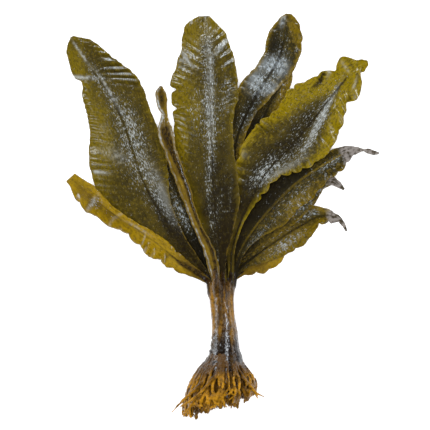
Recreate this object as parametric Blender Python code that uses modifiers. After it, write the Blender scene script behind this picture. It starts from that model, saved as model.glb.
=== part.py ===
"""A whole kelp plant lying on its back: holdfast, stipe and twelve strap blades.

Frame: +Y runs from the holdfast to the tips of the blades, +X is to the right and +Z is up
from the surface that the plant lies on. Sizes are in millimetres here and metres in the scene.
"""

import math
import random
from collections import namedtuple

import bmesh
import bpy
from mathutils import Vector

MM = 0.001

# Whole plant
FRAME_SHIFT = (-0.77, -0.30, 0.0)
CROWN_Y = -71.6
STIPE_TOP_Y = -72.0
STIPE_END_Y = -148.0
HOLDFAST_TOP_Y = -148.3
LAMINA_THICKNESS = 2.0
PETIOLE_THICKNESS = 3.1
PETIOLE_LENGTH = 34.0
ROW_PITCH = 11.0

# Holdfast
HAPTERA_COUNT = 22
INNER_HAPTERA = 15
HAPTERON_RADIUS = 3.0
HOLDFAST_SLANT = 0.27
HOLDFAST_SEED = 11

# Outline of one blade: centre x, y, z, then the reach and the rise of its left and right margin,
# left and right being those of someone who looks from the crown to the tip
Station = namedtuple("Station", "x y z left right left_rise right_rise")
Blade = namedtuple("Blade", "name columns ruffle pitch phase colour roughness stations")

BLADES = (
    Blade("blade_left_inner", 4, 0.5, 34.0, 0.4, (0.10, 0.085, 0.045), 0.34, (
        Station(-4.5, -71.6, 11.0, 3.0, 3.0, 0.0, 0.0),
        Station(-4.7, -68.0, 11.0, 3.0, 3.0, 0.0, 0.0),
        Station(-9.0, -55.0, 9.4, 6.0, 3.5, -0.5, 0.0),
        Station(-18.0, -35.0, 7.8, 15.0, 7.0, -0.5, 0.5),
        Station(-29.0, -13.0, 6.0, 15.0, 8.0, -0.5, 1.0),
        Station(-40.0, 10.0, 5.0, 12.0, 9.0, 0.0, 1.0),
        Station(-50.0, 35.0, 4.4, 10.0, 8.0, 0.0, 1.0),
        Station(-59.0, 58.0, 4.0, 9.0, 6.0, -0.5, 1.0),
        Station(-67.0, 78.0, 3.6, 7.0, 5.0, -0.5, 0.5),
        Station(-73.0, 93.0, 3.2, 4.0, 3.0, 0.0, 0.0),
        Station(-76.0, 103.0, 2.8, 1.2, 1.2, 0.0, 0.0),
    )),
    Blade("blade_behind_upper", 4, 0.5, 36.0, 1.2, (0.13, 0.085, 0.02), 0.36, (
        Station(3.5, -71.6, 11.0, 3.0, 3.0, 0.0, 0.0),
        Station(3.7, -68.0, 11.0, 3.0, 3.0, 0.0, 0.0),
        Station(7.0, -55.0, 9.4, 3.0, 3.0, 0.0, 0.0),
        Station(14.0, -15.0, 6.8, 5.0, 5.0, 0.0, 0.0),
        Station(21.0, 25.0, 6.0, 8.0, 8.0, 0.0, 0.0),
        Station(28.0, 60.0, 5.4, 10.0, 10.0, 0.0, 0.0),
        Station(36.0, 85.0, 5.0, 12.0, 10.0, -0.5, 0.0),
        Station(45.0, 105.0, 4.6, 13.0, 10.0, -0.5, 0.5),
        Station(54.0, 123.0, 4.0, 13.0, 11.0, -0.5, 0.5),
        Station(61.0, 139.0, 3.4, 11.0, 10.0, -0.5, 0.0),
        Station(65.0, 153.0, 2.8, 5.0, 6.0, 0.0, 0.0),
        Station(66.0, 160.0, 2.6, 1.5, 1.5, 0.0, 0.0),
    )),
    Blade("blade_lower_under", 4, 0.4, 30.0, 0.0, (0.30, 0.20, 0.012), 0.34, (
        Station(1.5, -71.6, 4.2, 3.0, 3.0, 0.0, 0.0),
        Station(2.2, -69.0, 3.6, 3.0, 3.0, 0.0, 0.0),
        Station(9.0, -65.0, 2.3, 3.0, 3.0, 0.0, 0.0),
        Station(21.0, -57.0, 1.9, 6.0, 4.0, 0.0, 0.0),
        Station(35.0, -51.0, 2.0, 9.0, 8.0, 0.0, 0.0),
        Station(48.0, -44.0, 1.8, 9.0, 9.5, 0.0, 0.0),
        Station(59.0, -35.0, 1.6, 8.0, 7.0, 0.0, 0.0),
        Station(70.0, -26.0, 1.5, 1.5, 1.5, 0.0, 0.0),
    )),
    Blade("blade_left_large", 6, 1.6, 37.0, 0.5, (0.16, 0.125, 0.018), 0.30, (
        Station(-8.8, -71.6, 15.6, 3.4, 3.4, 0.0, 0.0),
        Station(-9.4, -68.0, 15.6, 3.4, 3.4, 0.0, 0.0),
        Station(-18.0, -57.0, 14.8, 4.5, 4.0, 0.0, 0.0),
        Station(-30.0, -42.0, 14.0, 8.0, 5.0, 0.0, 0.0),
        Station(-48.0, -19.0, 13.0, 20.0, 9.0, -2.0, 0.0),
        Station(-64.0, 6.0, 12.5, 33.0, 15.0, -4.0, -1.0),
        Station(-79.0, 34.0, 12.5, 45.0, 27.0, -6.0, -2.0),
        Station(-89.0, 63.0, 12.5, 46.0, 31.0, -9.0, -2.5),
        Station(-99.0, 93.0, 11.5, 36.0, 30.0, -8.5, -2.0),
        Station(-112.0, 120.0, 9.5, 28.0, 32.0, -5.0, -1.0),
        Station(-129.0, 144.0, 7.0, 22.0, 24.0, -2.0, 1.5),
        Station(-142.0, 163.0, 4.6, 15.0, 14.5, 0.0, 2.0),
        Station(-148.0, 172.5, 3.6, 9.0, 8.0, 0.0, 1.0),
        Station(-150.5, 178.0, 3.2, 2.5, 2.5, 0.0, 0.0),
    )),
    Blade("blade_left_strap", 4, 1.2, 33.0, 1.0, (0.33, 0.21, 0.012), 0.32, (
        Station(-11.8, -71.6, 20.0, 2.9, 2.9, 0.0, 0.0),
        Station(-12.4, -68.0, 20.0, 2.9, 2.9, 0.0, 0.0),
        Station(-21.0, -61.0, 19.6, 4.0, 4.0, -0.5, 0.0),
        Station(-38.0, -51.0, 18.2, 8.0, 7.0, -1.0, 0.5),
        Station(-52.0, -39.0, 17.0, 12.0, 7.0, -2.0, 0.5),
        Station(-67.0, -27.0, 16.0, 13.0, 8.0, -3.0, 0.5),
        Station(-82.0, -16.0, 15.0, 12.0, 6.0, -4.0, 0.5),
        Station(-97.0, -7.0, 14.0, 8.0, 5.0, -4.0, 0.5),
        Station(-110.0, 2.0, 13.0, 11.0, 6.0, -4.0, 0.5),
        Station(-124.0, 13.0, 12.0, 14.0, 8.0, -3.0, 0.5),
        Station(-137.0, 23.0, 10.5, 12.0, 10.0, -2.0, 0.5),
        Station(-147.0, 33.0, 9.0, 7.0, 7.0, -1.0, 0.5),
        Station(-151.5, 38.0, 8.4, 6.0, 5.0, 0.0, 0.0),
    )),
    Blade("blade_lower_right", 4, 0.5, 31.0, 0.3, (0.12, 0.095, 0.045), 0.32, (
        Station(9.0, -71.6, 6.4, 2.9, 2.9, 0.0, 0.0),
        Station(9.4, -68.0, 6.6, 2.9, 2.9, 0.0, 0.0),
        Station(13.0, -60.0, 7.0, 3.6, 3.2, 0.0, 0.0),
        Station(20.5, -51.0, 7.0, 9.0, 4.4, -0.8, 0.0),
        Station(34.0, -40.5, 7.0, 14.0, 9.6, 0.0, -0.5),
        Station(50.0, -29.0, 6.6, 16.0, 15.6, 0.0, -1.0),
        Station(66.0, -18.5, 6.0, 17.0, 17.6, -0.5, -2.0),
        Station(82.0, -9.0, 5.0, 18.0, 15.0, -0.5, -2.5),
        Station(95.0, -2.0, 4.2, 12.0, 8.0, -0.5, -1.5),
        Station(107.0, -1.0, 3.4, 6.5, 7.0, 0.0, -1.0),
        Station(116.0, -4.0, 2.6, 3.5, 3.5, 0.0, 0.0),
        Station(121.0, -8.0, 2.0, 2.0, 2.0, 0.0, 0.0),
        Station(125.0, -16.0, 1.6, 0.9, 0.9, 0.0, 0.0),
    )),
    Blade("blade_right_short", 4, 0.4, 30.0, 2.0, (0.10, 0.08, 0.04), 0.34, (
        Station(11.0, -71.6, 10.3, 2.9, 2.9, 0.0, 0.0),
        Station(11.4, -68.0, 10.4, 2.9, 2.9, 0.0, 0.0),
        Station(17.0, -45.0, 11.2, 3.0, 3.0, 0.0, 0.0),
        Station(40.0, -21.0, 11.0, 8.0, 8.0, 0.0, 0.0),
        Station(68.0, 3.0, 10.0, 12.0, 12.0, 0.0, 0.0),
        Station(86.0, 19.0, 8.8, 12.0, 10.0, 0.0, 0.0),
        Station(98.0, 30.0, 7.6, 9.0, 6.0, 0.0, 0.0),
        Station(109.0, 34.5, 6.2, 5.0, 5.0, 0.0, 0.0),
        Station(116.0, 31.0, 5.2, 3.2, 3.2, 0.0, 0.0),
        Station(122.5, 25.5, 4.4, 1.0, 1.0, 0.0, 0.0),
    )),
    Blade("blade_right_long", 6, 0.5, 35.0, 0.0, (0.09, 0.07, 0.018), 0.33, (
        Station(10.4, -71.6, 14.7, 2.9, 2.9, 0.0, 0.0),
        Station(10.8, -68.0, 14.8, 2.9, 2.9, 0.0, 0.0),
        Station(13.5, -50.0, 15.4, 4.6, 4.0, 0.0, 0.0),
        Station(20.0, -32.0, 15.6, 9.3, 6.0, 0.0, 0.0),
        Station(30.0, -16.0, 15.2, 13.0, 11.0, -0.5, 0.0),
        Station(46.0, 4.0, 14.8, 19.0, 21.0, -1.5, -0.5),
        Station(62.0, 21.0, 14.0, 21.0, 21.0, -2.0, -0.5),
        Station(78.0, 35.0, 12.8, 16.0, 22.0, -2.0, -0.5),
        Station(96.0, 47.0, 11.0, 12.0, 16.0, -2.0, 0.0),
        Station(112.0, 56.0, 8.6, 10.0, 14.0, -1.0, 0.0),
        Station(125.0, 63.0, 6.4, 6.5, 8.0, 0.0, 0.0),
        Station(135.0, 65.0, 4.6, 3.5, 3.5, 0.0, 0.0),
        Station(142.0, 65.0, 3.2, 1.0, 1.0, 0.0, 0.0),
        Station(147.0, 64.0, 2.4, 2.6, 2.4, 0.0, 0.0),
        Station(152.0, 62.5, 1.8, 2.2, 2.2, 0.0, 0.0),
        Station(157.5, 62.0, 1.5, 0.9, 0.9, 0.0, 0.0),
    )),
    Blade("blade_upper_right", 4, 0.7, 34.0, 0.9, (0.075, 0.06, 0.035), 0.28, (
        Station(1.5, -71.6, 16.4, 2.9, 2.9, 0.0, 0.0),
        Station(1.7, -68.0, 16.4, 2.9, 2.9, 0.0, 0.0),
        Station(4.4, -55.0, 15.0, 3.0, 3.0, 0.0, 0.0),
        Station(7.0, -20.0, 13.2, 4.6, 4.6, 0.0, 0.0),
        Station(9.0, 25.0, 12.6, 7.0, 6.0, 0.0, 0.0),
        Station(12.0, 60.0, 12.4, 9.0, 5.0, 0.0, 0.0),
        Station(16.0, 80.0, 12.2, 11.0, 5.0, 0.0, -0.5),
        Station(25.0, 102.0, 11.8, 17.0, 8.0, -0.5, -1.0),
        Station(37.0, 124.0, 11.0, 19.0, 13.0, -1.5, -1.5),
        Station(48.0, 141.0, 9.8, 16.0, 16.0, -2.0, -2.0),
        Station(57.0, 157.0, 8.0, 16.0, 19.0, -2.0, -1.5),
        Station(64.0, 177.0, 5.4, 17.0, 17.0, -1.0, -1.0),
        Station(68.0, 191.0, 3.2, 10.0, 10.0, 0.0, 0.0),
        Station(70.0, 201.0, 1.6, 2.0, 2.0, 0.0, 0.0),
    )),
    Blade("blade_right_large", 6, 0.9, 36.0, 0.0, (0.22, 0.17, 0.015), 0.31, (
        Station(8.3, -71.6, 19.2, 2.9, 2.9, 0.0, 0.0),
        Station(8.4, -68.0, 19.3, 2.9, 2.9, 0.0, 0.0),
        Station(9.0, -55.0, 20.0, 3.0, 3.0, 0.0, 0.0),
        Station(10.0, -35.0, 20.6, 4.6, 3.0, 0.0, 0.0),
        Station(18.5, -7.0, 20.8, 10.0, 3.4, -0.5, 0.0),
        Station(30.0, 19.0, 20.8, 19.0, 8.0, -1.0, 0.0),
        Station(46.0, 45.0, 20.6, 35.0, 13.0, -1.0, 0.0),
        Station(65.0, 65.0, 19.8, 39.0, 26.0, -0.5, -1.5),
        Station(80.0, 82.0, 18.4, 35.0, 33.0, 0.0, -3.0),
        Station(95.0, 100.0, 16.0, 36.0, 28.0, 0.0, -4.0),
        Station(110.0, 119.0, 12.6, 28.0, 20.0, 0.0, -4.0),
        Station(123.0, 135.0, 9.0, 17.0, 20.0, 0.0, -2.0),
        Station(134.0, 147.0, 6.0, 12.0, 8.0, 1.0, 0.0),
        Station(145.0, 153.0, 3.4, 4.0, 4.0, 1.0, 0.0),
    )),
    Blade("blade_centre", 6, 1.0, 36.0, 1.6, (0.11, 0.09, 0.03), 0.28, (
        Station(1.3, -71.6, 23.0, 3.8, 3.8, 0.0, 0.0),
        Station(1.2, -68.0, 23.2, 3.8, 3.8, 0.0, 0.0),
        Station(-0.5, -45.0, 25.2, 8.5, 4.8, -0.5, 0.5),
        Station(-3.0, -25.0, 26.2, 11.5, 12.5, -0.5, 1.5),
        Station(-6.0, -5.0, 26.8, 16.0, 20.0, -1.5, 1.5),
        Station(-7.5, 15.0, 26.6, 18.5, 25.0, -2.5, 1.0),
        Station(-9.0, 40.0, 26.0, 24.0, 24.0, -4.0, 0.0),
        Station(-10.0, 65.0, 25.0, 36.0, 22.0, -8.5, 0.0),
        Station(-11.0, 90.0, 23.0, 37.0, 22.0, -8.0, 0.0),
        Station(-12.0, 115.0, 20.4, 38.0, 28.0, -6.0, -1.0),
        Station(-13.5, 140.0, 16.6, 37.0, 28.0, -4.0, -2.0),
        Station(-16.0, 165.0, 11.2, 26.0, 25.0, -2.0, -1.0),
        Station(-18.0, 185.0, 5.6, 20.0, 17.0, 0.0, 0.0),
        Station(-18.5, 199.0, 1.8, 4.0, 4.0, 0.0, 0.0),
    )),
    Blade("blade_rolled", 4, 0.0, 30.0, 0.0, (0.24, 0.15, 0.012), 0.24, (
        Station(-5.5, -71.6, 27.2, 3.8, 3.8, 1.0, 1.0),
        Station(-5.6, -68.0, 27.4, 3.8, 3.8, 1.5, 1.5),
        Station(-9.0, -50.0, 29.4, 5.0, 5.0, 3.5, 3.5),
        Station(-14.0, -33.0, 30.4, 4.9, 4.9, 5.0, 5.0),
        Station(-24.0, -12.0, 30.4, 4.4, 4.4, 5.0, 5.0),
        Station(-31.5, 8.0, 29.6, 4.4, 4.4, 4.5, 4.5),
        Station(-36.0, 22.0, 28.8, 5.0, 5.0, 4.5, 4.5),
        Station(-45.5, 48.0, 27.0, 5.7, 5.7, 4.5, 4.5),
        Station(-51.5, 65.0, 25.0, 6.2, 6.2, 4.0, 4.0),
        Station(-56.0, 80.0, 22.0, 8.0, 8.0, 3.0, 3.0),
        Station(-57.5, 90.0, 19.6, 6.5, 6.5, 3.0, 3.0),
        Station(-57.5, 97.0, 17.6, 3.8, 3.8, 2.0, 2.0),
        Station(-57.5, 102.0, 16.0, 3.0, 3.0, 1.0, 1.0),
        Station(-59.5, 108.0, 14.0, 4.8, 4.8, 0.5, 0.5),
        Station(-60.5, 116.0, 11.6, 6.0, 6.0, 0.5, 0.5),
        Station(-61.5, 123.0, 9.6, 4.8, 4.8, 0.0, 0.0),
        Station(-61.0, 129.0, 8.0, 1.2, 1.2, 0.0, 0.0),
    )),
)

# Cross-sections of the stipe and of the body of the holdfast: y, centre x, centre z, half width, half depth
Section = namedtuple("Section", "y x z width depth")

STIPE = (
    Section(-72.0, -1.5, 16.0, 14.6, 13.2),
    Section(-76.0, -1.4, 16.6, 12.8, 12.2),
    Section(-82.0, -0.6, 17.6, 11.5, 11.2),
    Section(-96.0, 0.6, 20.0, 11.4, 11.0),
    Section(-112.0, 2.2, 22.8, 12.2, 11.6),
    Section(-126.0, 2.8, 25.2, 13.6, 12.8),
    Section(-138.0, 2.8, 27.2, 15.8, 14.6),
    Section(-144.0, 2.0, 28.2, 18.0, 16.2),
    Section(-148.0, 1.0, 28.8, 20.6, 18.0),
)
HOLDFAST_BODY = (
    Section(-148.3, 1.0, 28.8, 20.6, 18.0),
    Section(-152.0, -0.4, 28.4, 23.6, 21.4),
    Section(-157.0, -1.4, 27.6, 27.6, 25.4),
    Section(-162.0, -2.2, 26.8, 30.0, 27.6),
    Section(-168.0, -3.2, 26.4, 30.0, 27.6),
    Section(-173.0, -4.0, 26.4, 26.0, 24.0),
    Section(-176.0, -4.4, 26.4, 16.0, 15.0),
)
STIPE_SIDES = 24
STIPE_ROWS = 10
BODY_SIDES = 24
BODY_ROWS = 7

STIPE_COLOUR = (0.20, 0.12, 0.018)
HOLDFAST_COLOUR = (0.32, 0.18, 0.02)


def hermite(rows, at):
    """Smooth values of equally long number rows at the distance "at", the first number being the distance."""
    index = 0
    while index < len(rows) - 2 and at > rows[index + 1][0]:
        index += 1
    before, after = rows[index], rows[index + 1]
    span = after[0] - before[0]

    def slope(i, k):
        """Slope of column k at row i, from its neighbours on both sides."""
        low, high = max(i - 1, 0), min(i + 1, len(rows) - 1)
        return (rows[high][k] - rows[low][k]) / (rows[high][0] - rows[low][0])

    t = min(1.0, max(0.0, (at - before[0]) / span))
    weights = (2 * t**3 - 3 * t**2 + 1, t**3 - 2 * t**2 + t, -2 * t**3 + 3 * t**2, t**3 - t**2)
    return [
        weights[0] * before[k]
        + weights[1] * span * slope(index, k)
        + weights[2] * after[k]
        + weights[3] * span * slope(index + 1, k)
        for k in range(1, len(before))
    ]


def smooth(value):
    """Smooth step of a number, from 0 at 0 to 1 at 1."""
    value = min(1.0, max(0.0, value))
    return value * value * (3 - 2 * value)


def world(x, y, z):
    """A point given in millimetres, in the scene's metres and with the plant's bounds centred."""
    return Vector((x + FRAME_SHIFT[0], y + FRAME_SHIFT[1], z + FRAME_SHIFT[2])) * MM


def material(name, colour, roughness):
    """A plain wet-looking finish with a colour and a roughness."""
    finish = bpy.data.materials.new(name)
    finish.use_nodes = True
    shader = finish.node_tree.nodes["Principled BSDF"]
    shader.inputs["Base Color"].default_value = (*colour, 1.0)
    shader.inputs["Roughness"].default_value = roughness
    shader.inputs["Metallic"].default_value = 0.0
    return finish


def add_object(name, bm, collection, finish=None):
    """A new object from a bmesh, smooth shaded, in a collection."""
    mesh = bpy.data.meshes.new(name)
    bm.to_mesh(mesh)
    bm.free()
    mesh.shade_smooth()
    made = bpy.data.objects.new(name, mesh)
    if finish is not None:
        mesh.materials.append(finish)
    collection.objects.link(made)
    return made


def blade(plan, collection):
    """One blade: a grid laid along its stations, ruffled towards the margins, then given its thickness.

    Returns:
        The blade's object, with a Solidify modifier that is thick at the petiole and thin past it.
    """
    rows, run = [], 0.0
    for index, station in enumerate(plan.stations):
        if index:
            previous = plan.stations[index - 1]
            run += math.dist((station.x, station.y), (previous.x, previous.y))
        rows.append((run, *station))
    steps = max(8, round(run / ROW_PITCH))
    bm = bmesh.new()
    bmesh.ops.create_grid(bm, x_segments=plan.columns, y_segments=steps, size=1.0)
    thickness = {}
    for vertex in bm.verts:
        across, along = vertex.co.x, (vertex.co.y + 1) / 2 * run
        x, y, z, left, right, left_rise, right_rise = hermite(rows, along)
        ahead = hermite(rows, min(run, along + 1.0))
        behind = hermite(rows, max(0.0, along - 1.0))
        heading = Vector((ahead[0] - behind[0], ahead[1] - behind[1])).normalized()
        side = Vector((heading.y, -heading.x)).lerp(Vector((1.0, 0.0)), 1 - smooth(along / 12.0)).normalized()
        reach, rise = (left, left_rise) if across < 0 else (right, right_rise)
        free = smooth((along - 70.0) / 50.0) * smooth((run - along) / 30.0)
        wave = math.sin(math.tau * along / plan.pitch + plan.phase + (1.9 if across < 0 else 0.0))
        lift = rise * abs(across) ** 1.6 + plan.ruffle * free * wave * across**2
        vertex.co = world(x + side.x * across * reach, y + side.y * across * reach, z + lift)
        share = 1 - smooth(along / PETIOLE_LENGTH)
        thickness[vertex.index] = LAMINA_THICKNESS + (PETIOLE_THICKNESS - LAMINA_THICKNESS) * share
    made = add_object(plan.name, bm, collection, material(plan.name, plan.colour, plan.roughness))
    group = made.vertex_groups.new(name="thickness")
    for index, value in thickness.items():
        group.add([index], value / PETIOLE_THICKNESS, "REPLACE")
    solidify = made.modifiers.new("lamina", "SOLIDIFY")
    solidify.thickness = PETIOLE_THICKNESS * MM
    solidify.offset = 0.0
    solidify.vertex_group = "thickness"
    return made


def turned(sections, sides, row_count, shape):
    """A closed tube through cross-sections along y, from a cylinder with evenly spaced ring cuts.

    Args:
        sections: The cross-sections, from the highest y to the lowest.
        sides: Number of faces around.
        row_count: Number of face rows along.
        shape: Function of (share along, angle, section values) that gives the point in millimetres.
    """
    bm = bmesh.new()
    bmesh.ops.create_cone(bm, cap_ends=True, segments=sides, radius1=1.0, radius2=1.0, depth=1.0)
    for cut in range(1, row_count):
        bmesh.ops.bisect_plane(
            bm,
            geom=[*bm.verts, *bm.edges, *bm.faces],
            plane_co=(0.0, 0.0, cut / row_count - 0.5),
            plane_no=(0.0, 0.0, 1.0),
        )
    first, last = -sections[0].y, -sections[-1].y
    rows = [(-section.y, *section[1:]) for section in sections]
    for vertex in bm.verts:
        share = 0.5 - vertex.co.z
        down = first + (last - first) * share
        angle = math.atan2(vertex.co.y, vertex.co.x)
        vertex.co = world(*shape(share, angle, (-down, *hermite(rows, down))))
    bmesh.ops.recalc_face_normals(bm, faces=bm.faces)
    return bm


def stipe_point(share, angle, section):
    """A point of the stipe: ribs from the merged petioles at the top, knuckles lower down."""
    y, x, z, width, depth = section
    ribs = 0.055 * math.cos(6 * angle + 0.6) * (1 - 0.8 * smooth(share * 1.4))
    knuckles = 0.02 * math.sin(share * 41.0 + 2 * math.cos(angle * 2)) * smooth((share - 0.4) * 4)
    factor = 1 + ribs + knuckles * smooth((1 - share) * 6)
    return x + width * factor * math.cos(angle), y, z + depth * factor * math.sin(angle)


def slanted(x, y):
    """The holdfast's y, lower on the left, where the plant was pulled off at a slant."""
    return y + HOLDFAST_SLANT * x * smooth((HOLDFAST_TOP_Y - y) / 34.0)


def body_point(share, angle, section):
    """A point of the holdfast's body."""
    y, x, z, width, depth = section
    px = x + width * math.cos(angle)
    return px, slanted(px, y), z + depth * math.sin(angle)


def haptera(collection):
    """The root-like haptera: tubes that leave the foot of the stipe, run down and out, and fork.

    Returns:
        A curve object with one bevelled spline for each hapteron and each fork.
    """
    draw = random.Random(HOLDFAST_SEED)
    curve = bpy.data.curves.new("haptera", "CURVE")
    curve.dimensions = "3D"
    curve.bevel_depth = HAPTERON_RADIUS * MM
    curve.bevel_resolution = 1
    curve.use_fill_caps = True

    def strand(points):
        """One tube through points given as x, y, z and radius as a share of the widest."""
        spline = curve.splines.new("POLY")
        spline.points.add(len(points) - 1)
        for target, (x, y, z, radius) in zip(spline.points, points):
            target.co = (*world(x, y, z), 1.0)
            target.radius = radius

    for index in range(HAPTERA_COUNT):
        turn = math.tau * (index + draw.uniform(-0.2, 0.2)) / HAPTERA_COUNT
        swirl, flare, drop = draw.uniform(-0.10, 0.10), draw.uniform(-1.5, 2.0), draw.uniform(-3.0, 3.5)
        points = []
        for share, wide, deep, radius in (
            (0.00, 21.0, 18.4, 0.80),
            (0.28, 30.5, 26.4, 1.05),
            (0.62, 34.6, 30.0, 1.00),
            (1.00, 33.8, 29.0, 0.55),
        ):
            angle = turn + swirl * share
            y = -151.5 - (34.5 + drop) * share
            x = -3.2 * share + (wide + flare * share) * math.cos(angle)
            z = 28.8 - 1.2 * share + (deep + flare * share) * math.sin(angle)
            points.append((x, slanted(x, y), z, radius))
        strand(points)
        if index % 2 == 0:
            x, y, z, radius = points[2]
            outward = Vector((math.cos(turn), math.sin(turn) * 0.86))
            lean = draw.choice((-1.0, 1.0)) * draw.uniform(3.0, 5.0)
            tip = (x + outward.x * 2.5 - outward.y * lean, z + outward.y * 2.5 + outward.x * lean)
            reach = draw.uniform(14.0, 19.0)
            strand((
                (x, y, z, 0.7),
                ((x + tip[0]) / 2 + outward.x, y - reach * 0.5, (z + tip[1]) / 2 + outward.y, 0.72),
                (tip[0], y - reach, tip[1], 0.42),
            ))

    # The blunt ends that fill the foot, from inside the skirt
    for index in range(INNER_HAPTERA):
        turn = index * math.tau * 0.381966
        spread = 24.0 * math.sqrt((index + 0.6) / INNER_HAPTERA)
        lean = 1 + draw.uniform(0.02, 0.16)
        x, z = -4.2 + spread * math.cos(turn), 27.0 + 0.88 * spread * math.sin(turn)
        tip_x, tip_z = -4.2 + lean * (x + 4.2), 27.0 + lean * (z - 27.0)
        y, tip_y = -166.0, -184.0 - draw.uniform(0.0, 5.0)
        strand((
            (x, slanted(x, y), z, 1.35),
            (tip_x, slanted(tip_x, y * 0.35 + tip_y * 0.65), tip_z, 1.35),
            (tip_x * 1.04, slanted(tip_x, tip_y), tip_z, 0.75),
        ))

    # The four ragged ends that stand clear of the rest, seen in the outline
    strand(((-33.0, -181.0, 33.0, 0.8), (-42.0, -187.0, 32.0, 0.62), (-50.0, -194.5, 30.0, 0.30)))
    strand(((-30.0, -187.0, 40.0, 0.8), (-36.0, -194.0, 40.0, 0.62), (-39.0, -200.5, 39.0, 0.34)))
    strand(((26.0, -166.0, 34.0, 0.8), (34.0, -174.0, 34.0, 0.6), (41.5, -179.5, 33.0, 0.30)))
    strand(((27.0, -172.0, 36.0, 0.7), (33.0, -178.0, 36.0, 0.5), (36.0, -184.5, 35.0, 0.30)))
    made = bpy.data.objects.new("haptera_curve", curve)
    collection.objects.link(made)
    return made


def as_mesh(curve_object, name, collection):
    """A mesh object with the evaluated form of a curve object, whose caps are welded on."""
    bpy.context.view_layer.update()
    evaluated = curve_object.evaluated_get(bpy.context.evaluated_depsgraph_get())
    mesh = bpy.data.meshes.new_from_object(evaluated)
    bm = bmesh.new()
    bm.from_mesh(mesh)
    bmesh.ops.remove_doubles(bm, verts=bm.verts, dist=0.00001)
    bm.to_mesh(mesh)
    bm.free()
    made = bpy.data.objects.new(name, mesh)
    made.matrix_world = curve_object.matrix_world.copy()
    collection.objects.link(made)
    bpy.data.objects.remove(curve_object)
    return made


def as_cutter(made):
    """Marks an object as a guide that is no part of the plant."""
    made.hide_render = True
    made.display_type = "WIRE"
    return made


def holdfast(collection, cutters):
    """The holdfast: body and haptera in one solid, flat where it lies on the surface."""
    bm = turned(HOLDFAST_BODY, BODY_SIDES, BODY_ROWS, body_point)
    made = add_object("holdfast", bm, collection, material("holdfast", HOLDFAST_COLOUR, 0.42))
    strands = as_cutter(as_mesh(haptera(cutters), "haptera", cutters))
    union = made.modifiers.new("haptera", "BOOLEAN")
    union.operation = "UNION"
    union.object = strands
    union.solver = "EXACT"
    union.use_self = True
    bm = bmesh.new()
    bmesh.ops.create_cube(bm, size=1.0)
    bmesh.ops.scale(bm, vec=(140 * MM, 120 * MM, 30 * MM), verts=bm.verts)
    under = as_cutter(add_object("surface_cut", bm, cutters))
    under.location = world(0.0, -180.0, 0.0) - Vector((0.0, 0.0, 15 * MM))
    cut = made.modifiers.new("resting face", "BOOLEAN")
    cut.operation = "DIFFERENCE"
    cut.object = under
    cut.solver = "EXACT"
    return made


def main():
    """Clears the scene and models the plant."""
    for old in list(bpy.data.objects):
        bpy.data.objects.remove(old)
    plant = bpy.data.collections.new("kelp_frond")
    cutters = bpy.data.collections.new("kelp_frond_cutters")
    bpy.context.scene.collection.children.link(plant)
    bpy.context.scene.collection.children.link(cutters)
    for plan in BLADES:
        blade(plan, plant)
    bm = turned(STIPE, STIPE_SIDES, STIPE_ROWS, stipe_point)
    add_object("stipe", bm, plant, material("stipe", STIPE_COLOUR, 0.3))
    holdfast(plant, cutters)


main()
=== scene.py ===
"""The looks of a whole kelp plant that lies on a pale surface.

Lengths are millimetres in the plant's own plan until they are placed: x to the right, y towards
the blade tips and z up from the surface. The scene itself is in metres.
"""

from __future__ import annotations

import logging
import math
from dataclasses import dataclass, field, replace
from enum import Enum, IntEnum
from typing import Callable, Iterable, Sequence, Union

import bmesh
import bpy
import numpy as np
from mathutils.kdtree import KDTree
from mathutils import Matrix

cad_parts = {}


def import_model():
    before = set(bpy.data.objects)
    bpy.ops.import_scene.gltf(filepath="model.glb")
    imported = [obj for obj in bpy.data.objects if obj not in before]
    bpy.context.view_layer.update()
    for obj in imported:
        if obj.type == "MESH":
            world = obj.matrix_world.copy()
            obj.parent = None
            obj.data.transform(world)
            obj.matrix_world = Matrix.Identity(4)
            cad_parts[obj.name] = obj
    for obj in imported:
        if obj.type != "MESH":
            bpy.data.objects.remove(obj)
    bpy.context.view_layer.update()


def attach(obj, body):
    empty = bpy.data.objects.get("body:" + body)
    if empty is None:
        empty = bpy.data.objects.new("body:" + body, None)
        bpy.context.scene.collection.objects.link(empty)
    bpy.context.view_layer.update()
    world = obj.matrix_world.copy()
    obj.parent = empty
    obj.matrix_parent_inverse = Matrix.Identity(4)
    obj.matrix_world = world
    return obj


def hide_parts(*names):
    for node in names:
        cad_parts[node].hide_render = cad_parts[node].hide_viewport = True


LOG = logging.getLogger("kelp")

MM = 0.001
PLAN_SHIFT = np.array((-0.77, -0.30, 0.0))
BODY = "root"
GRAIN_MAP = "grain"
GRAIN_UNIT = 100.0
UNDERSIDE_SHIFT = (0.5, 0.0)
# Mask of a painted highlight line on the very edge of a blade.
PAINTED_LIT_RIM_MASK = "painted_lit_rim"
FOLD_MASK = "fold"
HASH_STEP, HASH_SEED, HASH_SCALE = 127.1, 311.7, 43758.5453
HASH_SKEW = (1.37, 59.43)
SMALLEST = 1e-9
BUMP_STRENGTH = 0.7
GOLDEN_SHARE = 0.381966

Array = np.ndarray
Socket = bpy.types.NodeSocket
Value = Union[float, bpy.types.NodeSocket]
Colour = tuple[float, float, float]


class Tone(Enum):
    """A colour or finish that is laid over a blade in places, stored as a point attribute. The glint
    and sheen tones are painted highlights, the dark tone is partly painted shade, and the gold is
    partly painted light through thin tissue.
    """

    # Partly the skin's own golden tone and partly painted light through thin tissue.
    GOLD = "gold"
    # Partly the skin's own dark tone and partly painted shade.
    DARK = "dark"
    # Painted glints of light on the film of water; also a mask of how wet and glossy the skin is.
    BLOOM = "wet_and_painted_glint"
    DRY = "dry"
    # Painted highlights on fold crests and in patches.
    PAINTED_SHEEN = "painted_sheen"


class Side(Enum):
    """A margin of a blade, as seen from the crown towards the tip."""

    LEFT = -1
    RIGHT = 1


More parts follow.
